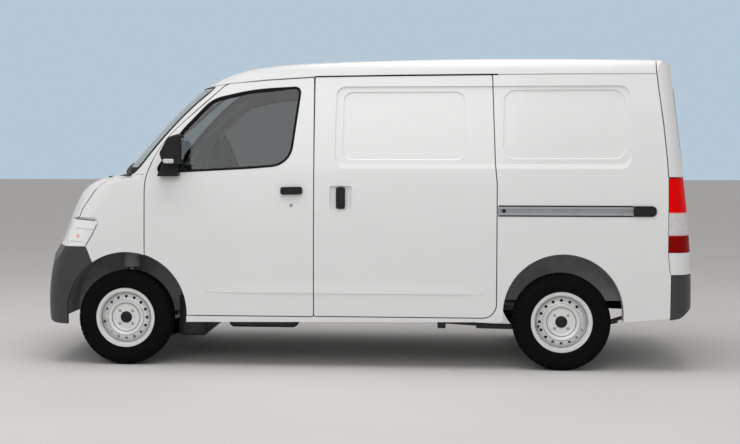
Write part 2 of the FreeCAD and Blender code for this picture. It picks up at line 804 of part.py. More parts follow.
def rim():
    w = "sizes.rim_width / 2"
    f = "sizes.rim_flange_radius"
    r = "sizes.rim_radius"
    g = "sizes.rim_gauge"
    b = "sizes.hub_bore_radius"
    p = "sizes.vent_pitch_radius"
    body = new_body("wheel_front_left", WHEEL_CENTRE)
    sketch = new_sketch(body, "YZ_Plane", "wheel_profile")
    polygon(sketch, [
        (w, f), (w + " - 8", r), ("16", r + " - 16"), ("-16", r + " - 16"), ("8 - " + w, r), ("-" + w, f),
        ("1 - " + w, r + " - " + g), ("-18", r + " - 16 - " + g), ("8", r + " - 16 - " + g), ("46", p + " - 22"),
        ("30", p + " - 55"), ("30", b), ("30 + " + g, b), ("30 + " + g, p + " - 55"), ("46 + " + g, p + " - 22"),
        ("22", r + " - 16 - " + g), (w + " - 1", r + " - " + g),
    ])
    revolve(body, sketch, "Y_Axis")
    vent = new_sketch(body, "XZ_Plane", "vent")
    circle(vent, "0", "sizes.vent_pitch_radius", "sizes.vent_radius")
    hole = body.newObject("PartDesign::Pocket", "vent_cut")
    hole.Profile = vent
    hole.Type = "ThroughAll"
    hole.SideType = "Symmetric"
    fan = body.newObject("PartDesign::PolarPattern", "vents")
    fan.Originals = [hole]
    fan.Axis = (reference(body, "Y_Axis"), [""])
    fan.Angle = 360
    fan.setExpression("Occurrences", "sizes.vent_count")
    body.Tip = fan
    return keep(body)


front_rim = rim()
doc.recompute()


def wheel_centre(axle, side):
    x = front_axle if axle == "front" else rear_axle
    track = d.track_front if axle == "front" else d.track_rear
    return V(x, side * track / 2, hub_z)


def placed(name, shape, place):
    """A copy of a shape as a sub-part with its own placement."""
    feature = doc.addObject("Part::Feature", name)
    feature.Shape = shape
    feature.Label = name
    feature.Placement = place
    nodes.append(feature)
    return feature


def half_turned(side):
    return FreeCAD.Rotation(V(0, 0, 1), 0 if side == LEFT else 180)


tyre_solid = tyre_shape()
rim_solid = Part.makeCompound([front_rim.Tip.Shape])
for axle in ("front", "rear"):
    for label, side in SIDES:
        place = FreeCAD.Placement(wheel_centre(axle, side), half_turned(side))
        placed("tyre_%s_%s" % (axle, label), tyre_solid, place)
        if (axle, label) != ("front", "left"):
            placed("wheel_%s_%s" % (axle, label), rim_solid, place)

rail_y0, rail_y1 = 400, 460
floor_top = 630
floor_gauge = 30
wheelhouse_wall = 462
rear_house_wall = 560
spindle_radius = d.hub_bore_radius - 0.3


def ribbon(points, thickness, y0, y1):
    """Bent plate: a path in the side view, thickened to one side and swept across."""
    back = inward(points, thickness)
    return side_prism(points + list(reversed(back)), y0, y1)


kingpin_foot = (655, 205)
strut_top_y, strut_top_z = 572, 690


floor_depth = d.frame_depth + 0.3
kingpin_run = (V(front_axle, strut_top_y, strut_top_z) - V(front_axle, *kingpin_foot)).normalize()


def floor_pan():
    """Cargo floor, seat box, cab floor and bulkhead in one pressing, with the four wheelhouses."""
    path = [
        (-1900, floor_top), (200, floor_top), (200, 815), (900, 815), (930, 520), (1470, 520), (1545, 700),
        (1562, 1185),
    ]
    plate = ribbon(path, floor_gauge, -900, 900)
    plate = plate.fuse(box(-1930, -1870, -900, 900, 485, floor_top))
    house = d.front_arch_radius + 21
    rear_house = d.rear_arch_radius + 21
    hollows = []
    for side in (LEFT, RIGHT):
        for centre, radius, inner, low in ((arch_front, house, wheelhouse_wall, 300),
                                           (arch_rear, rear_house, rear_house_wall, 400)):
            y0, y1 = sorted((side * inner, side * 1000))
            above = box(-2300, 2300, -1000, 1000, low, 1200)
            plate = plate.fuse(arch_prism(centre, radius, y0, y1).common(above))
            y2, y3 = sorted((side * (inner + 8), side * 1000))
            hollows.append(arch_prism(centre, radius - 8, y2, y3))
    plate = plate.cut(hollows)
    for side in (LEFT, RIGHT):
        foot = V(front_axle, side * strut_top_y, strut_top_z)
        run = V(0, side * kingpin_run.y, kingpin_run.z)
        cap = Part.makeCylinder(60, 80, foot + run * 0.3, run)
        plate = plate.fuse(cap.common(arch_prism(arch_front, house - 1, -1000, 1000)))
    aprons = []
    for y in (wheelhouse_wall, -wheelhouse_wall - 8):
        aprons.append(box(1562, 2000, y, y + 8, 600, 1000).common(skin(lamp_depth + 18)))
    inside = plate.common(skin(floor_depth))
    liner = plate.common(skin(d.fender_depth + 0.3))
    liner = liner.common(box(d.door_front + gap + 3, 1900, -1000, 1000, 300, 1200))
    liner = liner.common(arch_prism(arch_front, house, -1000, 1000))
    liner = liner.cut(side_prism(grown(bumper_edge, 4), -1000, 1000).cut(skin(35.3)))
    bulkhead = plate.common(skin(d.fender_depth + 0.3)).common(box(1500, 1650, -640, 640, 900, 1200))
    rear_panel = shell(35.3, floor_depth + 5).common(box(-2200, -1850, -690, 690, 485, rear_bumper_top + 2.7))
    striker = box(-1990, -1965, -30, 30, gate_sill - gap - 20, gate_sill - 0.3)
    striker = striker.common(skin(35.3))
    return inside.fuse([liner, bulkhead, rear_panel, striker] + aprons)


def tow_eye(x, z, top):
    """Upright plate under the right-hand rail, with a hole across it for a towing pin."""
    y = -(rail_y0 + rail_y1) / 2
    half_gauge = d.tow_eye_gauge / 2
    plate = side_prism([(x - 26, top, 0), (x - 26, z - 26, 24), (x + 26, z - 26, 24), (x + 26, top, 0)],
                       y - half_gauge, y + half_gauge)
    return plate.cut(rod((x, y - 20, z), (x, y + 20, z), d.tow_eye_bore / 2))


def chassis():
    """Two rails with cross members, spring brackets, outriggers and the bumper's crash boxes."""
    frame = box(1900, 1940, -rail_y0 - 10, rail_y0 + 10, 330, 420)
    for side in (LEFT, RIGHT):
        y0, y1 = sorted((side * rail_y0, side * rail_y1))
        path = [(-1865, 600), (200, 600), (620, 500), (1000, 460), (1150, 420), (1930, 420)]
        frame = frame.fuse(ribbon(path, 100, y0, y1))
        frame = frame.fuse(box(1900, 2100, y0, y1, 340, 415).common(skin(35.3)))
        for reach, gauge in ((459, 15), (532, 12)):
            y2, y3 = sorted((side * reach, side * (reach + gauge)))
            frame = frame.fuse(side_prism([(-440, 500), (-532, 500), (-510, 215), (-462, 215)], y2, y3))
        y4, y5 = sorted((side * 455, side * 544))
        frame = frame.fuse(box(-532, -440, y4, y5, 480, 560))
        frame = frame.fuse(box(-1830, -1760, y4, y5, 500, 590))
        y6, y7 = sorted((side * 455, side * 740))
        frame = frame.fuse(box(-60, 60, y6, y7, 520, 590))
    frame = frame.fuse(box(-40, 40, -rail_y0 - 10, rail_y0 + 10, 562, 598))
    for x, top in ((-1500, 590), (-840, 590), (960, 440)):
        frame = frame.fuse(box(x - 40, x + 40, -rail_y0 - 10, rail_y0 + 10, top - 70, top))
    return frame.fuse([tow_eye(1920, 300, 350), tow_eye(-1820, 455, 520)])


def rear_axle_unit():
    beam = rod((rear_axle, -600, hub_z), (rear_axle, 600, hub_z), 36)
    case = Part.makeSphere(135, V(rear_axle, 0, hub_z + 6))
    nose = Part.makeCone(95, 50, 200, V(rear_axle, 0, hub_z + 6), V(1, 0, 0))
    unit = beam.fuse(case).fuse(nose)
    for side in (LEFT, RIGHT):
        centre = side * d.track_rear / 2
        face = centre + side * 30
        spindle = rod((rear_axle, side * 595, hub_z), (rear_axle, face + side * 6, hub_z), spindle_radius)
        unit = unit.fuse(spindle)
        unit = unit.fuse(rod((rear_axle, side * 672, hub_z), (rear_axle, face - side * 6, hub_z), 112))
        y0, y1 = sorted((side * 470, side * 530))
        unit = unit.fuse(box(rear_axle - 60, rear_axle + 60, y0, y1, 237.3, hub_z))
        unit = unit.fuse(box(rear_axle - 112, rear_axle - 55, side * 500 - 12, side * 500 + 12, 248, 262))
    return unit


def leaf_springs():
    made = []
    for side in (LEFT, RIGHT):
        y0, y1 = sorted((side * 474.3, side * 531.7))
        path = [(-1790, 360), (-1500, 268), (-1320, 237), (-1070, 237), (-800, 240), (-486, 258)]
        main = ribbon(path, 14, y0, y1)
        second = ribbon([(-1560, 273), (-1320, 224), (-1070, 224), (-700, 230)], 14, y0, y1)
        eye = rod((-486, y0, 245), (-486, y1, 245), 24)
        rear_eye = rod((-1795, y0, 360), (-1795, y1, 360), 22)
        shackle = box(-1815, -1775, y0, y1, 360, 499.7)
        made.append(main.fuse(second).fuse(eye).fuse(rear_eye).fuse(shackle))
    return Part.makeCompound(made)


damper_foot = (rear_axle - 95, 276.3)
damper_head = (rear_axle - 248, 525)


def dampers():
    made = []
    for side in (LEFT, RIGHT):
        y = side * 500
        tube = rod((damper_foot[0], y, damper_foot[1]), (damper_head[0], y, damper_head[1]), 20)
        low_eye = rod((damper_foot[0], y - 22, damper_foot[1]), (damper_foot[0], y + 22, damper_foot[1]), 14)
        y0, y1 = sorted((side * (rail_y1 + 0.3), side * 530))
        high_eye = rod((damper_head[0], y0, damper_head[1]), (damper_head[0], y1, damper_head[1]), 26)
        made.append(tube.fuse([low_eye, high_eye]))
    return Part.makeCompound(made)


def power_unit():
    block = box(330, 830, -190, 190, 240, 700)
    bell = Part.makeCone(165, 90, 560, V(330, 0, 430), V(-1, 0, 0))
    shaft = rod((-225, 0, 430), (rear_axle + 206, 0, hub_z + 20), 32)
    sump = box(380, 780, -140, 140, 205, 245)
    unit = block.fuse(bell).fuse(shaft).fuse(sump)
    for side in (LEFT, RIGHT):
        y0, y1 = sorted((side * 180, side * 399.7))
        unit = unit.fuse(box(560, 640, y0, y1, 440, 480))
    return unit


def exhaust():
    """Down pipe, silencer and a tail pipe that climbs over the axle, with two hangers."""
    route = [(360, -250, 330), (-640, -300, 330), (-1060, -300, 380), (-1140, -300, 440), (-1300, -300, 440),
             (-1480, -325, 340), (-1925, -340, 330)]
    parts = [rod(a, b, 23) for a, b in zip(route, route[1:])]
    parts += [Part.makeSphere(23, V(*p)) for p in route[1:-1]]
    parts.append(rod((360, -250, 330), (360, -190.3, 330), 23))
    parts.append(Part.makeSphere(23, V(360, -250, 330)))
    parts.append(rod((-600, -300, 330), (-1000, -300, 330), 85))
    parts.append(box(-830, -810, -310, -290, 400, 519.7))
    parts.append(box(-1855, -1835, -399.7, -330, 325, 345))
    parts.append(box(-1855, -1835, -399.7, -385, 325, 520))
    return parts[0].fuse(parts[1:])


def fuel_tank():
    body = box(-760, -130, 110, 392, 330, 560)
    body = body.makeFillet(40, [e for e in body.Edges if e.Length > 400])
    strap_one = box(-640, -600, 115, 399.7, 540, 585)
    strap_two = box(-290, -250, 115, 399.7, 540, 585)
    return body.fuse([strap_one, strap_two])


def spare_wheel():
    centre = V(-1660, 0, 395)
    tube = tyre_shape()
    turned = tube.rotated(V(0, 0, 0), V(1, 0, 0), 90).translated(centre)
    disc = Part.makeCylinder(168, 16, V(centre.x, 0, centre.z - 30))
    hoist = Part.makeCylinder(14, floor_top - floor_gauge - 0.3 - centre.z + 20, V(centre.x, 0, centre.z - 20))
    ring = Part.makeCylinder(d.rim_radius, 100, V(centre.x, 0, centre.z - 50)).cut(
        Part.makeCylinder(d.rim_radius - 8, 100, V(centre.x, 0, centre.z - 50)))
    return Part.makeCompound([turned, disc.fuse(ring).fuse(hoist)])


ball_radius = 18


def front_suspension():
    """Cross beam with lower arms that end in sockets under the uprights, and the steering rack."""
    unit = box(front_axle - 60, front_axle + 60, -396, 396, 215, 290)
    sockets = []
    for side in (LEFT, RIGHT):
        y0, y1 = sorted((side * 330, side * 399))
        unit = unit.fuse(box(front_axle - 50, front_axle + 50, y0, y1, 280, 319.7))
        outline = [(front_axle - 110, side * 385, 10), (front_axle + 110, side * 385, 10),
                   (front_axle + 28, side * 672, 24), (front_axle - 28, side * 672, 24)]
        arm = plan_prism(outline, 176, kingpin_foot[1])
        bush = rod((front_axle - 120, side * 392, 215), (front_axle + 120, side * 392, 215), 24)
        unit = unit.fuse(arm).fuse(bush)
        ball = V(front_axle, side * kingpin_foot[0], kingpin_foot[1])
        sockets.append(Part.makeSphere(ball_radius + 0.3, ball))
        y2, y3 = sorted((side * 250, side * 290))
        unit = unit.fuse(box(1335, front_axle - 50, y2, y3, 225, 265))
    rack = rod((1335, -330, 245), (1335, 330, 245), 26)
    rods = rod((1335, -505, 245), (1335, 505, 245), 10)
    return unit.fuse([rack, rods]).cut(sockets)


def knuckle():
    """Upright, stub axle and strut, which all turn about the steering axis."""
    centre = d.track_front / 2
    foot = V(front_axle, *kingpin_foot)
    top = V(front_axle, strut_top_y, strut_top_z)
    reach = (top - foot).Length
    stub = rod((front_axle, 600, hub_z), (front_axle, centre + 36, hub_z), spindle_radius)
    disc = rod((front_axle, 690, hub_z), (front_axle, 706, hub_z), 118)
    carrier = rod((front_axle, 645, hub_z), (front_axle, 692, hub_z), 60)
    upright = side_prism([(front_axle - 30, 222), (front_axle + 30, 222), (front_axle + 38, 330),
                          (front_axle + 26, 430), (front_axle - 26, 430), (front_axle - 38, 330)], 612, 640, 8)
    ball = Part.makeSphere(ball_radius, foot)
    neck = Part.makeCylinder(11, 60, foot, kingpin_run)
    bridge = box(front_axle - 24, front_axle + 24, 622, 662, 228, 262)
    arm = plan_prism([(front_axle, 612), (front_axle, 648), (1350, 628), (1350, 600)], 246, 264)
    tube = Part.makeCylinder(24, reach * 0.78 - 140, foot + kingpin_run * 140, kingpin_run)
    tube = tube.fuse(Part.makeCylinder(11, reach * 0.3, foot + kingpin_run * (reach * 0.7 - 10), kingpin_run))
    return stub.fuse([disc, carrier, upright, ball, neck, bridge, arm, tube])


def strut():
    """Coil spring as a sleeve between its two plates, above the tyre's reach."""
    foot = V(front_axle, *kingpin_foot)
    reach = (V(front_axle, strut_top_y, strut_top_z) - foot).Length
    low = foot + kingpin_run * (reach * 0.78 + 0.3)
    length = reach * 0.22 - 0.3
    plate = Part.makeCylinder(56, 6, low, kingpin_run)
    head = Part.makeCylinder(56, 12, low + kingpin_run * (length - 12), kingpin_run)
    spring = Part.makeCylinder(52, length, low, kingpin_run)
    spring = spring.cut(Part.makeCylinder(44, length, low, kingpin_run))
    shaft = Part.makeCylinder(11.3, 400, foot + kingpin_run * reach * 0.5, kingpin_run)
    return plate.fuse([head, spring]).cut(shaft)


def seat(y):
    cushion = side_prism([(400, 815.3, 10), (905, 815.3, 20), (905, 935, 40), (400, 905, 20)], y - 245, y + 245)
    back = side_prism([(300, 880, 30), (420, 880, 20), (285, 1470, 40), (200, 1470, 40)], y - 235, y + 235)
    rest = side_prism([(190, 1500, 25), (262, 1500, 25), (240, 1660, 30), (180, 1660, 30)], y - 120, y + 120)
    posts = [rod((228, y + reach, 1450), (218, y + reach, 1520), 7) for reach in (-60, 60)]
    foot = box(310, 420, y - 200, y + 200, 815.3, 905)
    return cushion.fuse([back, rest, foot] + posts)


def dashboard():
    outline = [(1200, 900, 40), (1330, 790, 30), (1547.5, 790, 5), (1559.8, 1150, 5), (1280, 1150, 60),
               (1190, 1110, 40)]
    body = side_prism(outline, -690, 690)
    hood = side_prism([(1210, 1110, 20), (1420, 1120, 20), (1400, 1190, 40), (1235, 1225, 20)], -540, -170)
    return body.fuse(hood).common(skin(d.frame_depth + 6))


wheel_tilt = math.radians(20)
steering_centre = V(962, -355, 1262)


def steering_axis():
    return V(-math.cos(wheel_tilt), 0, math.sin(wheel_tilt))


def steering_wheel():
    """Rim of six-sided section, boss and three spokes."""
    axis = steering_axis()
    across = V(0, 1, 0)
    up = axis.cross(across)
    up = up if up.z > 0 else -up
    corners = []
    for i in range(7):
        turn = math.radians(60 * i + 30)
        corners.append(steering_centre + across * (176 + 13 * math.cos(turn)) + axis * (13 * math.sin(turn)))
    ring = Part.Face(Part.makePolygon(corners)).revolve(steering_centre, axis, 360)
    boss = Part.makeCylinder(52, 60, steering_centre - axis * 62, axis)
    spokes = [rod(tuple(steering_centre - axis * 20), tuple(steering_centre + way * 172), 11)
              for way in (across, -across, -up)]
    return ring.fuse([boss] + spokes)


def steering_column():
    axis = steering_axis()
    start = steering_centre - axis * 62.3
    return rod(tuple(start), tuple(steering_centre - axis * 330), 30)


def door_trim():
    """Mirror with its foot, and the door handle, on the left door."""
    outline = [(1066, 1236, 15), (1180, 1238, 25), (1202, 1300, 30), (1150, 1396, 30), (1080, 1418, 20),
               (1066, 1400, 10)]
    housing = side_prism(outline, 872, 985)
    housing = housing.makeFillet(14, [e for e in housing.Edges if e.BoundBox.YLength < 1])
    foot = side_prism([(1105, 1160, 8), (1236, 1160, 6), (1175, 1290, 8), (1120, 1290, 8)], 770, 880)
    foot = foot.cut(skin(-0.3))
    handle = side_prism([(356, 1052, 14), (488, 1050, 14), (488, 1096, 14), (356, 1098, 14)], 700, 842)
    handle = handle.cut(skin(-0.3))
    return Part.makeCompound([housing.fuse(foot), handle])


def slide_rail():
    """Channel of the outer slide rail with its end cap, and the sliding door's pull handle."""
    start = d.slider_rear - gap - 3
    rail = box(-1611.7, start, 700, 1000, rail_low + 0.3, rail_high - 0.3).common(skin(0))
    rail = rail.cut(skin(d.rail_depth - 0.3))
    channel = box(-1700, 0, 700, 1000, rail_low + 15, rail_high - 15).cut(skin(d.band_depth + d.inset_depth))
    cap = side_prism([(-1606, 925, 6), (-1606, 988, 6), (-1741, 988, 29), (-1741, 925, 29)], 700, 836)
    pull = side_prism([(98, 968, 12), (152, 968, 12), (152, 1096, 12), (98, 1096, 12)], 700, 838)
    handle = pull.cut(skin(d.scoop_depth - 0.3))
    return [Part.makeCompound([rail.cut(channel), cap.cut(skin(-0.3))]), handle]


def wiper(pivot_y, tip_y, tip_z):
    """Arm and blade lying on the windscreen, from a pivot at the cowl."""
    proud = 16
    foot = (pivot_y, 1165)
    run = V(tip_y - foot[0], tip_z - foot[1], 0).normalize()
    across = V(-run.y, run.x, 0) * 7
    arm = [(foot[0] + across.x, foot[1] + across.y), (foot[0] - across.x, foot[1] - across.y),
           (tip_y - across.x, tip_z - across.y), (tip_y + across.x, tip_z + across.y)]
    behind_bonnet = bonnet_edge[0][0] - 2 * gap
    return front_prism(arm, 1100, behind_bonnet).common(skin(-proud)).cut(skin(-0.3))


rear_axle_shape = rear_axle_unit()
piece("floor_pan", floor_pan())
piece("chassis_frame", chassis())
piece("rear_axle", rear_axle_shape)
piece("leaf_springs", leaf_springs())
piece("dampers", dampers())
piece("power_unit", power_unit())
piece("exhaust", exhaust())
piece("fuel_tank", fuel_tank())
piece("spare_wheel", spare_wheel())
piece("front_suspension", front_suspension())
pair("knuckle", knuckle())
pair("strut", strut())
pair("door_trim", door_trim())
piece("seats", Part.makeCompound([seat(355), seat(-355)]))
piece("dashboard", dashboard().fuse(steering_column()))
piece("steering_wheel", steering_wheel())
piece("wipers", Part.makeCompound([wiper(620, 60, 1235), wiper(40, -560, 1235)]))
rail, pull = slide_rail()
joined_pair("slide_rails", rail)
joined_pair("slider_handles", pull)


def export():
    os.makedirs("parts", exist_ok=True)
    for obj in doc.Objects:
        if "Invalid" in obj.State or "Error" in obj.State:
            raise RuntimeError("failed object: " + obj.Label)
    for obj in nodes:
        if obj.Shape.isNull() or not obj.Shape.isValid():
            raise RuntimeError("bad shape: " + obj.Label)
    for obj in nodes:
        obj.Shape.exportStep("parts/%s.step" % obj.Label)


doc.recompute()
export()
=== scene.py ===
import math

import bmesh
import bpy
from mathutils import Matrix, Vector
from mathutils.bvhtree import BVHTree
from mathutils.geometry import convex_hull_2d


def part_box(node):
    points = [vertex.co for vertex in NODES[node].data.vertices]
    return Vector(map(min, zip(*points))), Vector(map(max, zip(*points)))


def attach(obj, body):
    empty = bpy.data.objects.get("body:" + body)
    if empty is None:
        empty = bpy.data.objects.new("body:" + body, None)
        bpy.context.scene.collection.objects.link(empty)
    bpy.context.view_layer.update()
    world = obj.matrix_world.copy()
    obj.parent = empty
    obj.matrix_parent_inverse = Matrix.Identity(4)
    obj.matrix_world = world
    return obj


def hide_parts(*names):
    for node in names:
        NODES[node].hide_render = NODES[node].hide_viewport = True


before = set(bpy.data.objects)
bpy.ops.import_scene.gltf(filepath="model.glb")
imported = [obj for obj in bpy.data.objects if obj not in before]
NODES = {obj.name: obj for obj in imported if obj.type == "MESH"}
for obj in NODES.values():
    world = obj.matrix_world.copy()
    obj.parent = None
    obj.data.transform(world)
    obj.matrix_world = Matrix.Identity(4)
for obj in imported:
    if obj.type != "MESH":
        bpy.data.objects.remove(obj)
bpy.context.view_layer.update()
X_AXIS = Vector((1, 0, 0))
Y_AXIS = Vector((0, 1, 0))
Z_AXIS = Vector((0, 0, 1))
LEFT, RIGHT = 1, -1
SIDES = {"left": LEFT, "right": RIGHT}
ALONG = 0.9  # cosine above which two directions count as one


# Materials


def new_material(name):
    made = bpy.data.materials.new(name)
    made.use_nodes = True
    tree = made.node_tree
    shader = tree.nodes["Principled BSDF"]
    return made, tree, shader


def noise(tree, scale, detail=3, rough=0.5, stretch=(1, 1, 1)):
    """Noise in the object's own coordinates, in features per metre."""
    place = tree.nodes.new("ShaderNodeTexCoord")
    mapping = tree.nodes.new("ShaderNodeMapping")
    mapping.inputs["Scale"].default_value = stretch
    texture = tree.nodes.new("ShaderNodeTexNoise")
    texture.inputs["Scale"].default_value = scale
    texture.inputs["Detail"].default_value = detail
    texture.inputs["Roughness"].default_value = rough
    tree.links.new(place.outputs["Object"], mapping.inputs["Vector"])
    tree.links.new(mapping.outputs["Vector"], texture.inputs["Vector"])
    return texture.outputs["Fac"]


def ramp(tree, factor, low, high, start=0.3, end=0.7):
    """Colours from low to high as factor goes from start to end."""
    made = tree.nodes.new("ShaderNodeValToRGB")
    made.color_ramp.elements[0].position = start
    made.color_ramp.elements[1].position = end
    made.color_ramp.elements[0].color = (*low, 1)
    made.color_ramp.elements[1].color = (*high, 1)
    tree.links.new(factor, made.inputs["Fac"])
    return made.outputs["Color"]


def values(tree, factor, low, high, start=0.3, end=0.7):
    """A number from low to high as factor goes from start to end."""
    made = tree.nodes.new("ShaderNodeMapRange")
    made.inputs["From Min"].default_value = start
    made.inputs["From Max"].default_value = end
    made.inputs["To Min"].default_value = low
    made.inputs["To Max"].default_value = high
    tree.links.new(factor, made.inputs["Value"])
    return made.outputs["Result"]


def bump(tree, shader, height, distance, strength=1.0):
    made = tree.nodes.new("ShaderNodeBump")
    made.inputs["Strength"].default_value = strength
    made.inputs["Distance"].default_value = distance
    tree.links.new(height, made.inputs["Height"])
    tree.links.new(made.outputs["Normal"], shader.inputs["Normal"])


def shades(colour, spread):
    """A colour and its neighbour, lighter by spread."""
    return tuple(c * (1 - spread) for c in colour), tuple(min(1, c * (1 + spread)) for c in colour)


COAT_ROUGHNESS = 0.06
SMOOTHER, ROUGHER = 0.9, 1.1


def surface(name, colour, rough, spread=0.04, scale=12, metal=0.0, coat=0.0, grain=None, spec=0.5):
    """Opaque material, slightly uneven in colour and roughness; grain is (features a metre, height in m)."""
    made, tree, shader = new_material(name)
    broad = noise(tree, scale)
    tree.links.new(ramp(tree, broad, *shades(colour, spread)), shader.inputs["Base Color"])
    tree.links.new(values(tree, broad, rough * SMOOTHER, min(1, rough * ROUGHER)), shader.inputs["Roughness"])
    shader.inputs["Metallic"].default_value = metal
    shader.inputs["Coat Weight"].default_value = coat
    shader.inputs["Coat Roughness"].default_value = COAT_ROUGHNESS
    shader.inputs["Specular IOR Level"].default_value = spec
    if grain:
        bump(tree, shader, noise(tree, grain[0], 4, 0.6), grain[1])
    return made


def glass(name, colour, rough=0.0, spread=0.02, ior=1.45, see=1.0):
    made, tree, shader = new_material(name)
    tree.links.new(ramp(tree, noise(tree, 4), *shades(colour, spread)), shader.inputs["Base Color"])
    shader.inputs["Roughness"].default_value = rough
    shader.inputs["Transmission Weight"].default_value = see
    shader.inputs["IOR"].default_value = ior
    return made


PAINT = surface("paint_white", (0.80, 0.80, 0.80), 0.35, spread=0.01, scale=3, coat=0.5, grain=(260, 0.00002))
UNDER_COAT = surface("underbody_coat", (0.32, 0.32, 0.323), 0.8, spread=0.16, scale=9, grain=(180, 0.001))
CHASSIS_BLACK = surface("chassis_black", (0.032, 0.032, 0.034), 0.55, spread=0.3, scale=18,
                        grain=(180, 0.0003))
BUMPER_GREY = surface("bumper_grey", (0.040, 0.040, 0.041), 0.42, spread=0.08, scale=20, grain=(900, 0.00012))
TRIM_BLACK = surface("trim_black", (0.008, 0.008, 0.008), 0.5, spread=0.1, scale=25, grain=(1100, 0.00008),
                     spec=0.3)
SEAL_RUBBER = surface("seal_rubber", (0.006, 0.006, 0.006), 0.7, spread=0.15, scale=30, grain=(700, 0.0001),
                      spec=0.15)
TYRE_RUBBER = surface("tyre_rubber", (0.004, 0.004, 0.004), 0.85, spread=0.3, scale=22, grain=(500, 0.0002),
                      spec=0.08)
WHEEL_SILVER = surface("wheel_silver", (0.78, 0.78, 0.78), 0.4, spread=0.05, scale=16, metal=0.25,
                       grain=(420, 0.00004))
CAST_METAL = surface("cast_metal", (0.26, 0.26, 0.265), 0.5, spread=0.2, scale=22, metal=0.8,
                     grain=(300, 0.0005))
EXHAUST_STEEL = surface("exhaust_steel", (0.3, 0.28, 0.26), 0.45, spread=0.3, scale=14, metal=0.9,
                        grain=(200, 0.0002))
RAIL_STEEL = surface("rail_steel", (0.42, 0.43, 0.44), 0.35, spread=0.05, scale=20, metal=0.6,
                     grain=(500, 0.00003))
CABIN_GREY = surface("cabin_plastic", (0.10, 0.102, 0.106), 0.6, spread=0.06, scale=18, grain=(1000, 0.00015))
FLOOR_MAT = surface("cabin_mat", (0.05, 0.05, 0.052), 0.85, spread=0.1, scale=25, grain=(450, 0.0008))
TINTED_GLASS = glass("tinted_glass", (0.292, 0.287, 0.279))
SCREEN_GLASS = glass("screen_glass", (0.80, 0.86, 0.84))
LENS_CLEAR = glass("lens_clear", (0.98, 0.975, 0.99), see=0.12)


WAVE_TURN = 20  # what the wave texture multiplies its input by
RIBS, RIB_HEIGHT = 90, 0.0012


def ribbed(name, colour, rough, ribs, depth, metal=0.0, spec=0.5):
    """Moulded lamp surface with fine level ribs (ribs per metre, height in m)."""
    made, tree, shader = new_material(name)
    tree.links.new(ramp(tree, noise(tree, 40), *shades(colour, 0.06)), shader.inputs["Base Color"])
    shader.inputs["Roughness"].default_value = rough
    shader.inputs["Metallic"].default_value = metal
    shader.inputs["Specular IOR Level"].default_value = spec
    place = tree.nodes.new("ShaderNodeTexCoord")
    wave = tree.nodes.new("ShaderNodeTexWave")
    wave.bands_direction = "Z"
    wave.inputs["Scale"].default_value = ribs * 2 * math.pi / WAVE_TURN
    tree.links.new(place.outputs["Object"], wave.inputs["Vector"])
    bump(tree, shader, wave.outputs["Fac"], depth)
    return made


LAMP_RED = ribbed("lamp_red", (0.88, 0.0004, 0.0012), 0.4, RIBS, RIB_HEIGHT, spec=0.05)
LAMP_DARK_RED = ribbed("lamp_dark_red", (0.28, 0.0003, 0.0004), 0.4, RIBS, RIB_HEIGHT, spec=0.05)
LAMP_PINK = ribbed("lamp_pink", (0.72, 0.36, 0.36), 0.4, RIBS, 0.0002)
LAMP_CLEAR = ribbed("lamp_clear", (0.68, 0.66, 0.67), 0.3, RIBS, RIB_HEIGHT)
REFLECTOR = ribbed("lamp_reflector", (0.90, 0.89, 0.90), 0.35, 60, 0.002, metal=0.25)
MIRROR_GLASS = surface("mirror_glass", (0.70, 0.72, 0.74), 0.04, spread=0.01, metal=1.0)
SEAL_GREY = surface("seal_grey", (0.30, 0.30, 0.30), 0.6, spread=0.08, grain=(600, 0.0001))
SEAT_CLOTH = surface("seat_cloth", (0.075, 0.077, 0.083), 0.9, spread=0.25, scale=60, grain=(1400, 0.0004),
                     spec=0.2)
BELT_WEB = surface("belt_web", (0.03, 0.03, 0.032), 0.8, spread=0.2, scale=80, grain=(1600, 0.0003), spec=0.2)
DASH_LIGHT = surface("dash_light", (0.16, 0.162, 0.166), 0.6, spread=0.06, scale=18, grain=(1000, 0.00015))
GAUGE_BLACK = surface("gauge_black", (0.01, 0.01, 0.011), 0.12, spread=0.1, scale=20)
LOCK_METAL = surface("lock_metal", (0.34, 0.34, 0.345), 0.35, spread=0.1, metal=0.8)
LAMP_AMBER = surface("lamp_amber", (0.80, 0.50, 0.36), 0.3, spread=0.05)
LAMP_LINE = surface("lamp_line", (0.50, 0.49, 0.52), 0.4, spread=0.05, scale=40)
LAMP_BOWL = surface("lamp_bowl", (0.62, 0.63, 0.65), 0.12, spread=0.05, scale=30, metal=0.9)
# Painted shade: dark grey standing in for the shadow along the headlamps' top and rear edges.
LAMP_PAINTED_SHADE = surface("lamp_painted_shade", (0.16, 0.16, 0.165), 0.4, spread=0.1, scale=40)
# Painted shade for the silver wheel's gap, step, groove and dish edge, where the pressed steel falls into
# shade.
RIM_PAINTED_SHADE = surface("rim_painted_shade", (0.10, 0.10, 0.102), 0.6, spread=0.1)
RIM_GROOVE_PAINTED_SHADE = surface("rim_groove_painted_shade", (0.27, 0.27, 0.275), 0.5, spread=0.1)
NUT_STEEL = surface("nut_steel", (0.38, 0.385, 0.39), 0.4, spread=0.08, metal=0.5, grain=(400, 0.00005))


def dress(node, paint):
    obj = NODES[node]
    obj.data.materials.clear()
    obj.data.materials.append(paint)


def both(*stems):
    return [stem + side for stem in stems for side in ("_left", "_right")]


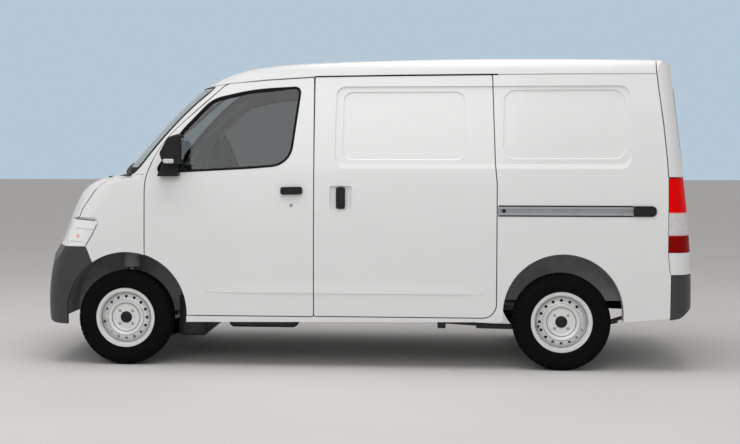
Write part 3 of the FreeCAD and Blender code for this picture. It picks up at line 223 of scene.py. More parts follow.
FINISHES = {
    PAINT: ["roof_panel", "front_fenders", "bonnet", "nose_panel", "tailgate", "cowl_panel",
            *both("side_frame", "front_door", "sliding_door")],
    BUMPER_GREY: ("front_bumper", "rear_bumper"),
    TRIM_BLACK: [*both("door_trim"), "slider_handles", "wipers"],
    CHASSIS_BLACK: ("front_panel", "chassis_frame", "front_suspension", "rear_axle", "leaf_springs",
                    "dampers"),
    UNDER_COAT: ["floor_pan", "fuel_tank", *both("strut")],
    CAST_METAL: ["power_unit", *both("knuckle")],
    EXHAUST_STEEL: ("exhaust",),
    RAIL_STEEL: ("slide_rails",),
    TYRE_RUBBER: ["spare_wheel", *both("tyre_front", "tyre_rear")],
    WHEEL_SILVER: both("wheel_front", "wheel_rear"),
    CABIN_GREY: ("dashboard", "steering_wheel", "seats"),
    TINTED_GLASS: [*both("door_glass"), "tailgate_glass"],
    SCREEN_GLASS: ("windscreen",),
    LENS_CLEAR: ("headlamps",),
    LAMP_RED: ("tail_lamps",),
}
for finish, names in FINISHES.items():
    for name in names:
        dress(name, finish)


# Shapes on the skin


BESIDE, BEYOND, OVERHEAD = 1.5, 2.6, 2.4
IN_CABIN, BEFORE_DASH = 0.3, 0.95

# Each way of looking: the rays' direction, their start at (across, up), and a point's (across, up).
LOOKS = {
    "left": (Vector((0, -1, 0)), lambda u, v: Vector((u, BESIDE, v)), lambda p: (p.x, p.z)),
    "right": (Vector((0, 1, 0)), lambda u, v: Vector((u, -BESIDE, v)), lambda p: (p.x, p.z)),
    "rear": (Vector((1, 0, 0)), lambda u, v: Vector((-BEYOND, u, v)), lambda p: (p.y, p.z)),
    "front": (Vector((-1, 0, 0)), lambda u, v: Vector((BEYOND, u, v)), lambda p: (p.y, p.z)),
    "top": (Vector((0, 0, -1)), lambda u, v: Vector((u, v, OVERHEAD)), lambda p: (p.x, p.y)),
    "cabin_left": (Vector((0, 1, 0)), lambda u, v: Vector((u, IN_CABIN, v)), lambda p: (p.x, p.z)),
    "cabin_right": (Vector((0, -1, 0)), lambda u, v: Vector((u, -IN_CABIN, v)), lambda p: (p.x, p.z)),
    "cabin_front": (Vector((1, 0, 0)), lambda u, v: Vector((BEFORE_DASH, u, v)), lambda p: (p.y, p.z)),
}


def skin_of(*nodes):
    """Tree of the nodes' faces at rest, for finding the skin by rays."""
    corners, faces = [], []
    for node in nodes:
        mesh = NODES[node].data
        first = len(corners)
        corners += [v.co.copy() for v in mesh.vertices]
        faces += [[first + i for i in p.vertices] for p in mesh.polygons]
    return BVHTree.FromPolygons(corners, faces)


def on_skin(tree, look, u, v):
    """Point and outward normal of the skin at (across, up); None where the ray meets nothing."""
    way, start, _ = LOOKS[look]
    point, normal, _, _ = tree.ray_cast(start(u, v), way)
    if point is None:
        return None
    if normal.dot(way) > 0:
        normal = -normal
    return point, normal


def rounded(corners, radius, steps=6):
    """Convex outline of (across, up) points with its corners rounded."""
    points = []
    count = len(corners)
    for i in range(count):
        before, here, after = (Vector(corners[(i + k) % count]) for k in (-1, 0, 1))
        to_before, to_after = (before - here).normalized(), (after - here).normalized()
        half_angle = to_before.angle(to_after) / 2
        reach = min(radius / math.tan(half_angle), (before - here).length / 2, (after - here).length / 2)
        true_radius = reach * math.tan(half_angle)
        centre = here + (to_before + to_after).normalized() * (true_radius / math.sin(half_angle))
        start = here + to_before * reach - centre
        end = here + to_after * reach - centre
        for k in range(steps + 1):
            points.append(tuple(centre + start.slerp(end, k / steps).normalized() * true_radius))
    return points


def rectangle(u0, u1, v0, v1, radius=0.0, steps=6):
    corners = [(u0, v0), (u1, v0), (u1, v1), (u0, v1)]
    return rounded(corners, radius, steps) if radius else corners


def hull_of(node, look):
    """Outline of a convex node seen from a side."""
    flat = [Vector(LOOKS[look][2](v.co)) for v in NODES[node].data.vertices]
    return [tuple(flat[i]) for i in convex_hull_2d(flat)]


def resample(points, step, closed=True):
    """The same line with evenly spaced points."""
    line = [Vector(p) for p in points] + ([Vector(points[0])] if closed else [])
    lengths = [0.0]
    for a, b in zip(line, line[1:]):
        lengths.append(lengths[-1] + (b - a).length)
    count = max(3, round(lengths[-1] / step))
    made = []
    k = 0
    for i in range(count if closed else count + 1):
        target = lengths[-1] * i / count
        while k < len(lengths) - 2 and lengths[k + 1] < target:
            k += 1
        span = lengths[k + 1] - lengths[k]
        made.append(line[k].lerp(line[k + 1], (target - lengths[k]) / span if span else 0))
    return made


def offset(points, amount):
    """Closed flat outline moved outwards by amount."""
    line = [Vector(p) for p in points]
    centre = sum(line, Vector((0, 0))) / len(line)
    made = []
    for i, here in enumerate(line):
        along = (line[(i + 1) % len(line)] - line[i - 1]).normalized()
        out = Vector((along.y, -along.x))
        if out.dot(here - centre) < 0:
            out = -out
        made.append(here + out * amount)
    return made


def smooth_piece(name, mesh, paint, body, angle):
    """Object in one material, with edges above an angle in degrees kept sharp, riding on a body."""
    mesh.polygons.foreach_set("use_smooth", [True] * len(mesh.polygons))
    mesh.set_sharp_from_angle(angle=math.radians(angle))
    mesh.materials.append(paint)
    made = bpy.data.objects.new(name, mesh)
    bpy.context.scene.collection.objects.link(made)
    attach(made, body)
    return made


def mesh_piece(name, corners, faces, paint, body, angle=40):
    """Piece from corners and faces, with its faces turned outwards."""
    mesh = bpy.data.meshes.new(name)
    mesh.from_pydata([tuple(c) for c in corners], [], faces)
    work = bmesh.new()
    work.from_mesh(mesh)
    bmesh.ops.recalc_face_normals(work, faces=work.faces)
    work.to_mesh(mesh)
    work.free()
    return smooth_piece(name, mesh, paint, body, angle)


def span_at(outline, v):
    """Lowest and highest across value of a convex outline at height v."""
    crossings = []
    for a, b in zip(outline, outline[1:] + outline[:1]):
        if (a[1] - v) * (b[1] - v) <= 0 and a[1] != b[1]:
            crossings.append(a[0] + (b[0] - a[0]) * (v - a[1]) / (b[1] - a[1]))
    return min(crossings), max(crossings)


EDGE_SHARE = 0.002  # how near the tips of an outline the first and last rows lie


def patch(name, look, outline, tree, paint, body, proud=0.002, sunk=0.004, rows=10, columns=12, rim=0.35):
    """Thin piece on the skin inside a convex outline; its edge comes down to rim times its height."""
    outline = [tuple(p) for p in outline]
    low, high = min(p[1] for p in outline), max(p[1] for p in outline)
    outer, inner = [], []
    for i in range(rows + 1):
        share = (1 - math.cos(math.pi * i / rows)) / 2
        v = low + (high - low) * min(max(share, EDGE_SHARE), 1 - EDGE_SHARE)
        start, end = span_at(outline, v)
        for k in range(columns + 1):
            u = start + (end - start) * (1 - math.cos(math.pi * k / columns)) / 2
            point, normal = on_skin(tree, look, u, v)
            edge = i in (0, rows) or k in (0, columns)
            outer.append(point + normal * proud * (rim if edge else 1))
            inner.append(point - normal * sunk)
    wide = columns + 1
    faces = []
    back = len(outer)
    for i in range(rows):
        for k in range(columns):
            a = i * wide + k
            faces.append((a, a + 1, a + wide + 1, a + wide))
            faces.append((back + a, back + a + wide, back + a + wide + 1, back + a + 1))
    border = list(range(wide)) + [i * wide + columns for i in range(1, rows + 1)]
    border += [rows * wide + k for k in range(columns - 1, -1, -1)] + [i * wide for i in range(rows - 1, 0,
                                                                                               -1)]
    for a, b in zip(border, border[1:] + border[:1]):
        faces.append((a, b, back + b, back + a))
    return mesh_piece(name, outer + inner, faces, paint, body)


def swept(name, path, normals, section, paint, body, closed=False):
    """Piece with a section of (sideways, outward) points carried along a path."""
    corners, faces = [], []
    count, wide = len(path), len(section)
    for i in range(count):
        after = path[(i + 1) % count] if closed or i < count - 1 else path[i]
        before = path[i - 1] if closed or i > 0 else path[i]
        side = (after - before).cross(normals[i]).normalized()
        corners += [path[i] + side * s + normals[i] * o for s, o in section]
    for i in range(count if closed else count - 1):
        for k in range(wide):
            a, b = i * wide + k, i * wide + (k + 1) % wide
            after = ((i + 1) % count) * wide - i * wide
            faces.append((a, b, b + after, a + after))
    if not closed:
        faces.append(tuple(range(wide)))
        faces.append(tuple(range((count - 1) * wide, count * wide)))
    return mesh_piece(name, corners, faces, paint, body)


def crowned(width, height, sunk):
    """Section of a moulding: flat foot, sloping shoulders and a crown."""
    half = width / 2
    return [(-half, -sunk), (-half, height * 0.5), (-half * 0.6, height), (half * 0.6, height),
            (half, height * 0.5),
            (half, -sunk)]


def strip(name, look, line, tree, width, height, sunk, paint, body, closed=False, step=0.02):
    """Moulding that follows a flat line over the skin."""
    path, normals = [], []
    for u, v in resample(line, step, closed):
        found = on_skin(tree, look, u, v)
        if found:
            path.append(found[0])
            normals.append(found[1])
    return swept(name, path, normals, crowned(width, height, sunk), paint, body, closed)


POLE = 0.0005  # radius at which a turned profile ends by its axis


def turned(name, profile, place, paint, body, segments=64, axis=Y_AXIS):
    """Piece turned round an axis through place from (radius, along) points."""
    across = Z_AXIS if abs(axis.z) < ALONG else X_AXIS
    across = (across - axis * across.dot(axis)).normalized()
    other = axis.cross(across)
    corners, faces = [], []
    count = len(profile)
    for i in range(segments):
        turn = 2 * math.pi * i / segments
        spoke = across * math.cos(turn) + other * math.sin(turn)
        corners += [place + spoke * radius + axis * along for radius, along in profile]
        after = (i + 1) % segments
        for k in range(count - 1):
            faces.append((i * count + k, i * count + k + 1, after * count + k + 1, after * count + k))
    return mesh_piece(name, corners, faces, paint, body)


# Wheels


CORNERS = {"front_left": ("wheel_fl", LEFT), "front_right": ("wheel_fr", RIGHT),
           "rear_left": ("wheel_rl", LEFT), "rear_right": ("wheel_rr", RIGHT)}


def hub_of(corner):
    """Centre, radius and half width of a tyre."""
    low, high = (Vector(c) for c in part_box("tyre_" + corner))
    return (low + high) / 2, (high.z - low.z) / 2, (high.y - low.y) / 2


def tyre(corner, body):
    """Tyre with three grooves round the tread, shoulder blocks and a rim protector."""
    centre, radius, half = hub_of(corner)
    bead = 0.184
    groove_depth, groove_half = 0.0075, 0.0038
    cut_depth = 0.006
    pitches = 60
    flank = [(0.66 * half, bead - 0.004, 0), (0.84 * half, bead, 0), (0.90 * half, bead + 0.012, 0),
             (0.935 * half, bead + 0.017, 0), (0.95 * half, bead + 0.025, 0), (0.99 * half, bead + 0.043, 0),
             (half, bead + 0.054, 0), (0.992 * half, bead + 0.066, 0), (0.985 * half, bead + 0.068, 0),
             (0.98 * half, bead + 0.071, 0), (0.972 * half, bead + 0.073, 0), (0.945 * half, radius - 0.026,
                                                                               0),
             (0.915 * half, radius - 0.017, 1), (0.86 * half, radius - 0.009, 1), (0.79 * half,
                                                                                   radius - 0.0035, 1),
             (0.70 * half, radius - 0.001, 1), (0.56 * half, radius, 1), (0.55 * half, radius, 0)]
    tread = []
    for middle in (0.46 * half, 0.0, -0.46 * half):
        for along, depth in ((groove_half, 0), (groove_half - 0.001, 1), (-groove_half + 0.001, 1),
                             (-groove_half, 0)):
            tread.append((middle + along, radius - groove_depth * depth, 0))
    profile = flank + tread + [(-along, reach, lug) for along, reach, lug in reversed(flank)]
    stations = ((0.0, 0), (0.72, 0), (0.76, 1), (0.96, 1))
    corners, faces = [], []
    wide = len(profile)
    count = pitches * len(stations)
    for i in range(count):
        share, low = stations[i % len(stations)]
        turn = 2 * math.pi * (i // len(stations) + share) / pitches
        for along, reach, lug in profile:
            r = reach - cut_depth * low * lug
            corners.append(centre + Vector((r * math.cos(turn), along, r * math.sin(turn))))
        after = (i + 1) % count
        for k in range(wide - 1):
            faces.append((i * wide + k, i * wide + k + 1, after * wide + k + 1, after * wide + k))
    made = mesh_piece("tyre_tread_" + corner, corners, faces, TYRE_RUBBER, body, angle=30)
    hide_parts("tyre_" + corner)


HUB_CAP = [(POLE, 0.011), (0.012, 0.011), (0.026, 0.0085), (0.033, 0.005), (0.036, 0.0), (0.036, -0.006),
           (POLE, -0.006)]
NUT = [(POLE, 0.003), (0.006, 0.0028), (0.0085, 0.0012), (0.0095, 0.0), (0.0095, -0.003), (POLE, -0.003)]
NUTS, NUT_CIRCLE, FIRST_NUT = 4, 0.056, 45
VALVE = [(POLE, 0.026), (0.0042, 0.026), (0.0045, 0.014), (0.0055, 0.013), (0.0065, 0.0), (0.0065, -0.004),
         (POLE, -0.004)]
VALVE_CIRCLE = 0.140
VALVE_TURNS = {LEFT: -12, RIGHT: 192}
# Rings on the wheel's face by name, radius, width and material; their dark colours are painted shade in the
# rim's pressed lines.
RIM_LINES = (("gap", 0.1535, 0.008, RIM_PAINTED_SHADE), ("step", 0.1455, 0.003, RIM_GROOVE_PAINTED_SHADE),
             ("groove", 0.087, 0.007, RIM_GROOVE_PAINTED_SHADE), ("edge", 0.112, 0.0035, RIM_GROOVE_PAINTED_SHADE))


def rim_line(name, face, look, centre, radius, width, paint, body, count=96):
    """Thin ring following the face of the wheel, dark as painted shade."""
    path, normals = [], []
    for k in range(count):
        turn = 2 * math.pi * k / count
        point, normal = on_skin(face, look, centre.x + radius * math.cos(turn),
                                centre.z + radius * math.sin(turn))
        path.append(point)
        normals.append(normal)
    swept(name, path, normals, crowned(width, 0.0006, 0.002), paint, body, closed=True)


def wheel_details(corner, body, side):
    """Centre cap, wheel nuts, the rim's pressed lines as dark rings of painted shade, and the valve."""
    centre, _, _ = hub_of(corner)
    look = "left" if side == LEFT else "right"
    face = skin_of("wheel_" + corner)
    out = Y_AXIS * side

    def place(radius, turn):
        return on_skin(face, look, centre.x + radius * math.cos(turn), centre.z + radius * math.sin(turn))[0]

    cap = place(0.036, 0.4)
    middle = Vector((centre.x, cap.y, centre.z))
    turned("hub_cap_" + corner, HUB_CAP, middle, TRIM_BLACK, body, axis=out)
    for k in range(NUTS):
        spot = place(NUT_CIRCLE, math.radians(FIRST_NUT + 360 / NUTS * k))
        turned("nut_%d_%s" % (k, corner), NUT, spot, NUT_STEEL, body, 20, axis=out)
    for name, radius, width, paint in RIM_LINES:
        rim_line("rim_%s_%s" % (name, corner), face, look, centre, radius, width, paint, body)
    spot = place(VALVE_CIRCLE, math.radians(VALVE_TURNS[side]))
    turned("valve_" + corner, VALVE, spot, SEAL_RUBBER, body, 16, axis=out)


for corner, (body, side) in CORNERS.items():
    tyre(corner, body)
    wheel_details(corner, body, side)


# Glass and its seals


def frame_strip(name, look, outline, tree, section, paint, body, widen=None, step=0.02):
    """Seal round a closed outline; its section points out of the outline and is scaled by widen(u, v)."""
    line = resample(outline, step)
    outward = offset(line, 0.01)
    path, sides, normals, scales = [], [], [], []
    for (u, v), (a, b) in zip(line, outward):
        found = on_skin(tree, look, u, v)
        if not found:
            continue
        point, normal = found
        start = LOOKS[look][1]
        away = start(a, b) - start(u, v)
        away = (away - normal * away.dot(normal)).normalized()
        path.append(point)
        sides.append(away)
        normals.append(normal)
        scales.append(widen(u, v) if widen else 1)
    corners, faces = [], []
    wide, count = len(section), len(path)
    for i in range(count):
        corners += [path[i] + sides[i] * s * scales[i] + normals[i] * o for s, o in section]
        after = (i + 1) % count
        for k in range(wide):
            m = (k + 1) % wide
            faces.append((i * wide + k, i * wide + m, after * wide + m, after * wide + k))
    return mesh_piece(name, corners, faces, paint, body)


SEAL_SECTION = [(0.010, -0.003), (0.010, 0.001), (0.006, 0.0022), (-0.006, 0.0022), (-0.014, -0.002),
                (-0.017, -0.008), (-0.017, -0.014), (-0.010, -0.014)]


SCREEN_SECTION = [(0.011, -0.003), (0.011, 0.0008), (0.005, 0.0016), (-0.008, 0.0012), (-0.042, 0.0007),
                  (-0.042, -0.003)]
SEAL_OUTSET, SCREEN_INSET = 0.006, -0.004
NARROW_SEAL, SEAL_GAIN = 0.58, 0.27
REAR_EDGE, BELT_EDGE = (0.43, 0.56), (1.24, 1.40)
SCREEN_TOP, TOP_LOSS = (1.66, 1.71), 0.75


def eased(value, low, high):
    """0 below low, 1 above high, smooth between."""
    share = min(max((value - low) / (high - low), 0), 1)
    return share * share * (3 - 2 * share)


def seal_width(u, v):
    """A door window's seal is narrow along the belt and the rear edge, and wider elsewhere."""
    return NARROW_SEAL + SEAL_GAIN * eased(u, *REAR_EDGE) * eased(v, *BELT_EDGE)


def screen_width(_, v):
    """The screen's black border is wide at the sides and narrow along the top."""
    return 1 - TOP_LOSS * eased(v, *SCREEN_TOP)


def seals():
    """Rubber round the front door windows, the windscreen and the tailgate's window."""
    for side in SIDES:
        outline = offset(resample(hull_of("door_glass_" + side, side), 0.015), SEAL_OUTSET)
        tree = skin_of("front_door_" + side)
        frame_strip("window_seal_" + side, side, outline, tree, SEAL_SECTION, SEAL_RUBBER, "door_" + side,
                    seal_width)
    outline = offset(resample(hull_of("windscreen", "front"), 0.02), SCREEN_INSET)
    tree = skin_of("windscreen")
    frame_strip("windscreen_seal", "front", outline, tree, SCREEN_SECTION, SEAL_RUBBER, "van_body",
                screen_width)
    outline = offset(resample(hull_of("tailgate_glass", "rear"), 0.02), SEAL_OUTSET)
    frame_strip("tailgate_seal", "rear", outline, skin_of("tailgate"), SEAL_SECTION, SEAL_RUBBER,
                "tailgate_door")


seals()


# Body trim


ROOF_LINE = [(0.88, 1.7185), (0.572, 1.7485), (0.302, 1.7645), (-0.227, 1.7705), (-1.183, 1.7745),
             (-1.86, 1.7725)]
RAIL_LOW, RAIL_HIGH = 0.930, 0.983
RAIL_FRONT, RAIL_REAR = -0.83, -1.605
DOOR_LOCK, GATE_LOCK = (0.010, 0.424, 0.986), (0.012, 0.0, 0.842)
FUEL_FLAP = (-1.60, -1.43, 1.02, 1.19, 0.03)
TURN_LAMP = (1.112, 1.178, 1.240, 1.266, 0.008)
MIRROR_SPAN, MIRROR_LEVELS, MIRROR_ROUND = (0.888, 0.972), (1.262, 1.392), 0.02
GATE_HANDLE = (-0.13, 0.13, 0.792, 0.828, 0.012)
BRAKE_LAMP = (-0.11, 0.11, 1.782, 1.806, 0.009)
WIPER_PIVOT, WIPER_TIP = Vector((0.0, 1.205)), Vector((0.27, 1.335))
BLADE_START, BLADE_REACH = 0.12, 0.17
CORNER_SEAM = [(-1.8105, 1.150), (-1.8105, 0.706), (-1.8230, 0.586)]
RAIL_ROLLER = [(POLE, 0.006), (0.009, 0.006), (0.0115, 0.004), (0.0115, -0.004), (POLE, -0.004)]
NOZZLE_X, NOZZLE_YS, NOZZLE_HALF = 1.652, (0.31, -0.31), (0.011, 0.014)
DRIP_OFFSET = 0.007  # from the roof's edge up to where the skin is sought

# Name, front, rear, width, height and material.
DRIP_PARTS = (("drip_front", 0.80, 0.296, 0.0045, 0.0010, SEAL_GREY),
              ("drip_moulding", 0.290, -0.815, 0.0085, 0.0028, SEAL_RUBBER),
              ("roof_joint", -0.817, -1.86, 0.0045, 0.0010, SEAL_GREY))


def roof_edge(x):
    """Height of the roof's lower edge along the side."""
    for (x0, z0), (x1, z1) in zip(ROOF_LINE, ROOF_LINE[1:]):
        if x1 <= x <= x0:
            return z0 + (z1 - z0) * (x0 - x) / (x0 - x1)
    return ROOF_LINE[-1][1]


def drip_mouldings():
    """Along the roof's edge: black over the sliding door, with thin grey seams before and behind it."""
    roof = skin_of("roof_panel")
    for side in SIDES:
        for name, front, rear, width, height, paint in DRIP_PARTS:
            path, normals = [], []
            steps = max(8, round((front - rear) / 0.03))
            for k in range(steps + 1):
                x = front + (rear - front) * k / steps
                found = on_skin(roof, side, x, roof_edge(x) + DRIP_OFFSET)
                if found:
                    point, normal = found
                    down = (normal * normal.z - Z_AXIS).normalized()
                    path.append(point + down * DRIP_OFFSET)
                    normals.append(normal)
            swept(name + "_" + side, path, normals, crowned(width, height, 0.004), paint, "van_body")


def corner_seams():
    """Thin shut line down the front edge of each tail lamp and of the corner below it."""
    for side in SIDES:
        strip("corner_seam_" + side, side, CORNER_SEAM,
              skin_of("side_frame_" + side, "tail_lamps"), 0.0035, 0.0004, 0.002, SEAL_RUBBER, "van_body")


def rail_details():
    """Dark lips along the slide rail, and the roller at its front end."""
    for side, sign in SIDES.items():
        tree = skin_of("side_frame_" + side, "slide_rails")
        for name, z in (("low", RAIL_LOW - 0.003), ("high", RAIL_HIGH + 0.003)):
            strip("rail_lip_%s_%s" % (name, side), side, [(RAIL_FRONT + 0.012, z), (RAIL_REAR, z)], tree,
                  0.0075,
                  0.003, 0.002, SEAL_RUBBER, "van_body", step=0.04)
        spot = on_skin(skin_of("slide_rails"), side, RAIL_FRONT - 0.02, (RAIL_LOW + RAIL_HIGH) / 2)[0]
        turned("rail_roller_" + side, RAIL_ROLLER, spot, TRIM_BLACK, "van_body", 24, axis=Y_AXIS * sign)


def black_rail_caps():
    """The end caps of the slide rails are black plastic."""
    mesh = NODES["slide_rails"].data
    mesh.materials.append(TRIM_BLACK)
    for face in mesh.polygons:
        if face.center.x < RAIL_REAR - 0.001:
            face.material_index = 1


def disc(radius, u, v, steps=20):
    return [(u + radius * math.cos(2 * math.pi * k / steps), v + radius * math.sin(2 * math.pi * k / steps))
            for k in range(steps)]


def door_locks():
    for side in SIDES:
        patch("door_lock_" + side, side, disc(*DOOR_LOCK), skin_of("front_door_" + side), LOCK_METAL,
              "door_" + side, proud=0.003, rows=8, columns=8)
    patch("gate_lock", "rear", disc(*GATE_LOCK), skin_of("tailgate"), TRIM_BLACK, "tailgate_door",
          proud=0.003, rows=8, columns=8)


def fuel_flap():
    tree = skin_of("side_frame_right")
    outline = rectangle(*FUEL_FLAP)
    strip("fuel_flap_gap", "right", outline, tree, 0.004, 0.0004, 0.002, SEAL_RUBBER, "van_body", closed=True,
          step=0.008)
    patch("fuel_flap", "right", offset(outline, -0.003), tree, PAINT, "van_body", proud=0.0009, rows=12)


def mirrors():
    for side, sign in SIDES.items():
        tree = skin_of("door_trim_" + side)
        patch("turn_lamp_" + side, side, rectangle(*TURN_LAMP), tree, LAMP_CLEAR, "door_" + side,
              proud=0.0002)
        outline = rectangle(*sorted(sign * y for y in MIRROR_SPAN), *MIRROR_LEVELS, MIRROR_ROUND)
        patch("mirror_glass_" + side, "rear", outline, tree, MIRROR_GLASS,
              "door_" + side, proud=0.0012)


def gate_details():
    """Handle over the recess, high brake lamp, and the rear wiper."""
    tree = skin_of("tailgate", "tailgate_glass")
    patch("gate_handle", "rear", rectangle(*GATE_HANDLE), tree, TRIM_BLACK, "tailgate_door",
          proud=0.012, rows=8)
    patch("high_brake_lamp", "rear", rectangle(*BRAKE_LAMP), tree, LAMP_RED, "tailgate_door",
          proud=0.006, rows=8)
    arm = [tuple(WIPER_PIVOT.lerp(WIPER_TIP, k / 6)) for k in range(7)]
    strip("rear_wiper_arm", "rear", arm, tree, 0.013, 0.016, -0.008, TRIM_BLACK, "tailgate_door")
    along = (WIPER_TIP - WIPER_PIVOT).normalized()
    blade = [tuple(WIPER_PIVOT + along * BLADE_START), tuple(WIPER_TIP + along * BLADE_REACH)]
    strip("rear_wiper_blade", "rear", blade, tree, 0.007, 0.009, 0.001, SEAL_RUBBER, "tailgate_door")
    patch("rear_wiper_pivot", "rear", disc(0.021, *WIPER_PIVOT), tree, TRIM_BLACK, "tailgate_door",
          proud=0.02, rows=8,
          columns=8)


def washer_nozzles():
    long, wide = NOZZLE_HALF
    for k, y in enumerate(NOZZLE_YS):
        patch("washer_nozzle_%d" % k, "top", rectangle(NOZZLE_X - long, NOZZLE_X + long, y - wide, y + wide),
              skin_of("bonnet"), TRIM_BLACK, "bonnet_lid", proud=0.006, rows=6, columns=6)


drip_mouldings()
corner_seams()
rail_details()
black_rail_caps()
door_locks()
fuel_flap()
mirrors()
gate_details()
washer_nozzles()


# Lamps


WELD = 0.00005


def node_copy(node):
    """The node's mesh at rest, with its corners joined, to be cut or moved."""
    work = bmesh.new()
    work.from_mesh(NODES[node].data)
    bmesh.ops.remove_doubles(work, verts=work.verts, dist=WELD)
    bmesh.ops.recalc_face_normals(work, faces=work.faces)
    return work


def piece_from(work, name, paint, body, angle=30):
    mesh = bpy.data.meshes.new(name)
    work.to_mesh(mesh)
    work.free()
    mesh.materials.clear()
    for face in mesh.polygons:
        face.material_index = 0
    return smooth_piece(name, mesh, paint, body, angle)


def lamp_segment(name, low, high, paint):
    """Part of both tail lamps between two heights."""
    work = node_copy("tail_lamps")
    for z, way in ((low, -1), (high, 1)):
        parts = work.verts[:] + work.edges[:] + work.faces[:]
        cut = bmesh.ops.bisect_plane(work, geom=parts, plane_co=(0, 0, z), plane_no=(0, 0, way),
                                     clear_outer=True)
        edges = [g for g in cut["geom_cut"] if isinstance(g, bmesh.types.BMEdge)]
        bmesh.ops.holes_fill(work, edges=edges)
    return piece_from(work, name, paint, "van_body")


TAIL_SEGMENTS = (("brake", 0.9495, 1.16, LAMP_RED), ("separator_high", 0.9435, 0.9495, LAMP_PINK),
                 ("turn", 0.8200, 0.9435, LAMP_CLEAR), ("separator_low", 0.8130, 0.8200, LAMP_PINK),
                 ("fog", 0.700, 0.8130, LAMP_DARK_RED))


def tail_lamps():
    """Both tail lamps in segments, one above the other."""
    for name, low, high, paint in TAIL_SEGMENTS:
        made = lamp_segment("tail_lamp_" + name, low, high, paint)
        if name == "brake":
            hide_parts("tail_lamps")


# Lines on the headlamp lenses: grey inner edges, and dark bands of painted shade along the top and rear
# edges.
LAMP_LINES = (
    ("divider", [(1.800, 0.888), (1.814, 0.830), (1.808, 0.744)], 0.005, LAMP_LINE),
    ("shelf_high", [(1.760, 0.841), (1.700, 0.837), (1.642, 0.834)], 0.0045, LAMP_LINE),
    ("shelf_low", [(1.790, 0.761), (1.712, 0.759)], 0.0045, LAMP_LINE),
    ("top_painted_shade", [(1.762, 0.8975), (1.700, 0.8955), (1.628, 0.8900)], 0.010, LAMP_PAINTED_SHADE),
    ("rear_painted_shade", [(1.622, 0.862), (1.652, 0.800), (1.690, 0.737)], 0.004, LAMP_PAINTED_SHADE),
)


BOWL_Y, BOWL_Z, BOWL_RADIUS, RING_RADIUS = 0.625, 0.815, 0.060, 0.062
BULB = (0.012, 1.738, 0.794)
REFLECTOR_DEPTH = 0.004


def headlamps():
    """Silvery reflectors close under the clear covers, with bowls, inner edges, an amber bulb and painted
    shade bands.
    """
    work = node_copy("headlamps")
    work.normal_update()
    moved = [(v, v.co - v.normal * REFLECTOR_DEPTH) for v in work.verts]
    for v, co in moved:
        v.co = co
    piece_from(work, "headlamp_reflectors", REFLECTOR, "van_body")
    tree = skin_of("headlamps")
    for side, sign in SIDES.items():
        bowl = (sign * BOWL_Y, BOWL_Z)
        patch("lamp_bowl_" + side, "front", disc(BOWL_RADIUS, *bowl), tree, LAMP_BOWL, "van_body",
              proud=0.0006,
              sunk=0.002)
        strip("lamp_ring_" + side, "front", disc(RING_RADIUS, *bowl, steps=36), tree, 0.006, 0.001, 0.002,
              LAMP_LINE,
              "van_body", closed=True, step=0.01)
        patch("indicator_bulb_" + side, side, disc(*BULB), tree, LAMP_AMBER, "van_body",
              proud=0.0006, sunk=0.002, rows=8, columns=8)
        for name, line, width, paint in LAMP_LINES:
            strip("lamp_%s_%s" % (name, side), side, line, tree, width, 0.0005, 0.002, paint, "van_body",
                  step=0.01)


tail_lamps()
headlamps()


# Below the sills


def stacked(rings):
    """Corners and faces of a closed mesh through level rings of equal count."""
    corners = [corner for ring in rings for corner in ring]
    count = len(rings[0])
    faces = []
    for start in range(0, len(corners) - count, count):
        for k in range(count):
            m = (k + 1) % count
            faces.append((start + k, start + m, start + count + m, start + count + k))
    faces.append(tuple(range(count)))
    faces.append(tuple(range(len(corners) - count, len(corners))))
    return corners, faces


PAN_TOP = 0.40
PAN_EDGE = ((0.0, 0.02), (0.012, 0.004), (0.02, 0.0))  # height over the foot, and inset


def pan(name, rear, front, half, low):
    """Shallow pressed pan between two x values, hung from under the floor."""
    ring = rectangle(rear, front, -half, half, 0.04, 5)
    levels = [(low + rise, inset) for rise, inset in PAN_EDGE] + [(PAN_TOP, 0.0)]
    rings = [[(x, y, z) for x, y in offset(ring, -inset)] for z, inset in levels]
    return mesh_piece(name, *stacked(rings), CHASSIS_BLACK, "van_body")


pan("engine_shield", 0.985, 1.165, 0.55, 0.150)
pan("gearbox_shield", 0.415, 0.85, 0.52, 0.204)


# Cabin


SEAT_SIDES = ((0.355, "left"), (-0.355, "right"))
SHIFT_LIMIT = 0.024
QUICK_VOXEL, VOXEL = 0.009, 0.006
STUFFING_FRAMES = 20
GROOVE_HALF, GROOVE_DEPTH = 0.012, 0.006

# Name, sections, lean in degrees, foot (x, z), grooves and fill.
SEAT_PARTS = (
    ("seat_cushion", [(0.0, 0.0, 0.47, 0.215, 0.05), (0.012, -0.012, 0.482, 0.228, 0.06),
                      (0.080, -0.012, 0.490, 0.228, 0.06), (0.092, 0.004, 0.475, 0.214, 0.05)],
     -2, (0.413, 0.828), [("y", 0.13), ("y", -0.13), ("x", 0.36), ("x", 0.62)], 0.75),
    ("seat_back", [(0.0, 0.0, 0.095, 0.205, 0.04), (0.02, -0.008, 0.105, 0.218, 0.045),
                   (0.30, -0.008, 0.100, 0.218, 0.045), (0.55, 0.0, 0.075, 0.185, 0.035),
                   (0.57, 0.010, 0.065, 0.170, 0.025)],
     -12, (0.312, 0.890), [("y", 0.12), ("y", -0.12), ("z", 0.30), ("z", 0.55), ("z", 0.80)], 0.7),
    ("head_rest", [(0.0, 0.0, 0.058, 0.095, 0.022), (0.012, -0.006, 0.064, 0.108, 0.028),
                   (0.128, -0.004, 0.060, 0.108, 0.028), (0.140, 0.004, 0.052, 0.094, 0.022)],
     -8, (0.196, 1.512), [], 0.8),
)
PLINTH = [(0.8155, 0.33, 0.86, 0.19, 0.03), (0.835, 0.345, 0.845, 0.175, 0.03)]
